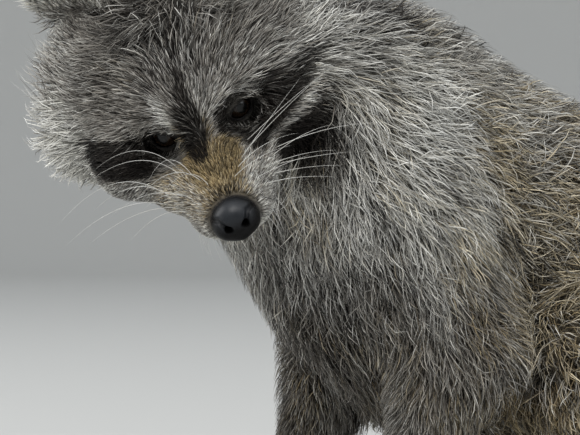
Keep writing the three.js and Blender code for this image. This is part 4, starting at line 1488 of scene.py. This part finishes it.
straw = stepped(tree, along, [(0.0, (0.19, 0.155, 0.10)), (0.45, (0.60, 0.50, 0.33)),
                              (1.0, (0.84, 0.745, 0.56))])
black = stepped(tree, along, [(0.0, (0.004, 0.0035, 0.003)), (0.6, (0.009, 0.007, 0.006)),
                              (1.0, (0.024, 0.018, 0.014))])
tip_share = calculated(tree, "MULTIPLY", calculated(tree, "SUBTRACT", along, 0.55, True), 2.2, True)
colour = mixed(tree, tip_share, grizzled, tip_colour)
colour = mixed(tree, warm, colour, tan)
colour = mixed(tree, pale, colour, mixed(tree, warm, cream, straw))
colour = mixed(tree, dark, colour, black)
strength = calculated(tree, "ADD", calculated(tree, "MULTIPLY", own_shade, 1.5), 0.27)
grey = node(tree, "CombineColor", {0: strength, 1: strength, 2: strength}).outputs[0]
put(output.inputs["Colour"], mixed(tree, 1.0, colour, grey, "MULTIPLY"))

# %% Leather grain group
leather_grain, given, output = new_group(
    "Leather grain",
    [("Scale", "Float", 900.0), ("Base", "Color", (0.02, 0.018, 0.018, 1)), ("Tinge", "Float", 0.1)],
    [("Colour", "Color"), ("Height", "Float"), ("Roughness", "Float")])
tree = leather_grain
pebbles = texture(tree, "TexVoronoi", {"Scale": given["Scale"]}, feature="DISTANCE_TO_EDGE")
cloud = texture(tree, "TexNoise", {"Scale": 90.0, "Detail": 4.0})["Fac"]
crowns = calculated(tree, "MULTIPLY", pebbles["Distance"], 3.0, True)
tinge = calculated(tree, "MULTIPLY", cloud, given["Tinge"])
lighter = mixed(tree, tinge, given["Base"], (0.11, 0.095, 0.088, 1))
fill(output, {
    "Colour": mixed(tree, crowns, (0.003, 0.003, 0.003, 1), lighter),
    "Height": crowns,
    "Roughness": calculated(tree, "ADD", calculated(tree, "MULTIPLY", cloud, 0.35), 0.22),
})

# %% Coat and skin materials
fur, tree, shader = new_material("Grizzled fur", Roughness=0.58, Specular_IOR_Level=0.16)
read = {"Marks": attribute(tree, "marks", "Color"), "Lock": attribute(tree, "lock", "Color")}
put(shader.inputs["Base Color"], node(tree, "Group", read, node_tree=coat_colour).outputs["Colour"])
give(fur, *coat_pieces)

hide, tree, shader = new_material("Skin under the coat", Specular_IOR_Level=0.2)
strands = texture(tree, "TexNoise", {"Scale": 700.0, "Detail": 3.0, "Roughness": 0.6})["Fac"]
in_shadow = calculated(tree, "MULTIPLY", attribute(tree, "shadow"), 0.40)
root_to_tip = calculated(tree, "SUBTRACT", 0.52, in_shadow)
own = node(tree, "CombineColor", {0: root_to_tip, 1: strands, 2: 0.45}).outputs[0]
read = {"Marks": attribute(tree, "marks", "Color"), "Lock": own}
haired = node(tree, "Group", read, node_tree=coat_colour).outputs["Colour"]
bare = attribute(tree, "bare")
looks = {"Scale": 1100.0, "Base": (0.012, 0.010, 0.0095, 1), "Tinge": 0.35}
leather = node(tree, "Group", looks, node_tree=leather_grain).outputs
fill(shader, {
    "Base Color": mixed(tree, bare, haired, leather["Colour"]),
    "Roughness": calculated(tree, "SUBTRACT", 0.8, calculated(tree, "MULTIPLY", bare, 0.3)),
})
grain = calculated(tree, "MULTIPLY", leather["Height"], bare)
add_bump(tree, shader, calculated(tree, "ADD", strands, grain), 0.6, 0.0005)
give(hide, skin)

# %% Nose material
nose_leather, tree, shader = new_material("Moist nose leather", Specular_IOR_Level=0.12, Coat_Roughness=0.36)
looks = {"Scale": 1500.0, "Base": (0.003, 0.0032, 0.004, 1)}
leather = node(tree, "Group", looks, node_tree=leather_grain).outputs
top_gloss_and_reflection = attribute(tree, "top_gloss_and_reflection")
# Where the pad faces up, a painted bluish reflection is added to the base colour, and the clear coat is laid
# on there too.
fill(shader, {
    "Base Color": mixed(tree, top_gloss_and_reflection, leather["Colour"], (0.010, 0.013, 0.018, 1), "ADD"),
    "Coat Weight": calculated(tree, "MULTIPLY", top_gloss_and_reflection, 0.55),
    "Roughness": leather["Roughness"],
})
add_bump(tree, shader, leather["Height"], 0.3, 0.0003)
give(nose_leather, nose)

# %% Eye material
eye_gloss, tree, shader = new_material("Wet dark eye", Roughness=0.25, Coat_Weight=0.35, Coat_Roughness=0.03,
                                      Specular_IOR_Level=0.15)
fibres = texture(tree, "TexNoise", {"Scale": 1500.0, "Detail": 3.0})["Fac"]
waviness = calculated(tree, "MULTIPLY", calculated(tree, "SUBTRACT", fibres, 0.5), 0.05)
wavy = calculated(tree, "ADD", attribute(tree, "from_pupil"), waviness)
iris = stepped(tree, wavy, [(0.0, (0.002, 0.002, 0.002)), (0.22, (0.002, 0.002, 0.002)),
                            (0.26, (0.016, 0.009, 0.005)), (0.48, (0.010, 0.006, 0.004)),
                            (0.55, (0.004, 0.003, 0.003)), (0.75, (0.012, 0.009, 0.008))])
put(shader.inputs["Base Color"], iris)
give(eye_gloss, *eye_pieces)

# %% Whisker and claw materials
bristle, tree, shader = new_material("White bristle", Roughness=0.38, Specular_IOR_Level=0.5)
streaks = texture(tree, "TexNoise", {"Scale": 60.0, "Detail": 2.0})["Fac"]
ivory = stepped(tree, streaks, [(0.3, (0.62, 0.60, 0.55)), (0.7, (0.90, 0.89, 0.86))])
put(shader.inputs["Base Color"], ivory)
give(bristle, whisker_piece)

horn, tree, shader = new_material("Dark horn", Roughness=0.34, Specular_IOR_Level=0.5)
streaks = texture(tree, "TexNoise", {"Scale": 420.0, "Detail": 4.0, "Distortion": 1.5})["Fac"]
brown = stepped(tree, streaks, [(0.3, (0.030, 0.022, 0.018)), (0.6, (0.075, 0.058, 0.045)),
                                (0.8, (0.16, 0.13, 0.10))])
put(shader.inputs["Base Color"], brown)
add_bump(tree, shader, streaks, 0.25, 0.0003)
give(horn, *claw_pieces)

# %% [markdown]
# ## Studio
#
# The floor is a wide pale bowl with a soft bend, so no horizon shows from any side.
# Broad lights give the even, soft light of an overcast day, a little stronger from
# above and from the animal's front.

# %% Floor and lights
FLAT_RADIUS, BEND, WALL = 9.0, 2.6, 8.0
TURNS = 96
profile = [(0.001, 0), (1.5, 0), (4, 0), (FLAT_RADIUS, 0)]
bend = np.linspace(0.1, math.pi / 2, 14)
profile += [(FLAT_RADIUS + BEND * math.sin(a), BEND * (1 - math.cos(a))) for a in bend]
profile.append((FLAT_RADIUS + BEND, WALL))
spin = np.linspace(0, 2 * np.pi, TURNS, endpoint=False)
points = [[r * math.cos(a), r * math.sin(a), z] for r, z in profile for a in spin]
faces = [[k * TURNS + m, k * TURNS + (m + 1) % TURNS, (k + 1) * TURNS + (m + 1) % TURNS, (k + 1) * TURNS + m]
         for k in range(len(profile) - 1) for m in range(TURNS)]
floor_mesh = bpy.data.meshes.new("floor")
floor_mesh.from_pydata(points, [], faces)
floor_mesh.shade_smooth()
floor = bpy.data.objects.new("floor", floor_mesh)
bpy.context.scene.collection.objects.link(floor)
pale, tree, shader = new_material("Pale studio floor", Roughness=0.9, Specular_IOR_Level=0.1)
soft_cloud = node(tree, "TexNoise", {"Scale": 1.2, "Detail": 2.0}).outputs["Fac"]
paper = stepped(tree, soft_cloud, [(0.3, (0.55, 0.55, 0.54)), (0.7, (0.58, 0.58, 0.565))])
put(shader.inputs["Base Color"], paper)
give(pale, floor)


def area_light(name, place, aim, size, power, colour):
    data = bpy.data.lights.new(name, "AREA")
    data.shape, data.size, data.energy, data.color = "DISK", size, power, colour
    lamp = bpy.data.objects.new(name, data)
    lamp.location = place
    lamp.rotation_mode = "QUATERNION"
    lamp.rotation_quaternion = (Vector(aim) - Vector(place)).to_track_quat("-Z", "Y")
    bpy.context.scene.collection.objects.link(lamp)


AIM = (-0.1, -0.05, 0.2)
area_light("overcast", (0, 0, 9.0), AIM, 15.0, 340, (0.97, 0.99, 1.0))
area_light("key", (-1.4, -3.2, 4.4), AIM, 3.0, 120, (1.0, 0.985, 0.96))
area_light("fill", (3.6, -3.0, 2.2), AIM, 2.6, 40, (0.95, 0.98, 1.0))
area_light("side", (-4.4, 0.6, 2.4), AIM, 2.4, 75, (1.0, 1.0, 1.0))
world = bpy.data.worlds.new("studio")
bpy.context.scene.world = world
world.use_nodes = True
fill(world.node_tree.nodes["Background"], {"Color": (0.92, 0.96, 1.0, 1), "Strength": 0.55})
bpy.context.scene.view_settings.view_transform = "Standard"

# %% Camera
AWAY, HALF_HEIGHT = 2.0, 0.1158     # in metres: how far the camera stands, and half of what it sees
camera_data = bpy.data.cameras.new("camera")
camera_data.sensor_width = 36
camera_data.lens = 18 / (HALF_HEIGHT / AWAY * 580 / 435)
camera_data.clip_start, camera_data.clip_end = 0.05, 60
camera = bpy.data.objects.new("camera", camera_data)
camera.location = (np.array([0, -AWAY / MM, 170.0]) + FOOTPRINT) * MM
camera.rotation_euler = (math.pi / 2, 0, 0)
bpy.context.scene.collection.objects.link(camera)
bpy.context.scene.camera = camera

# %% Finish
bpy.context.view_layer.update()
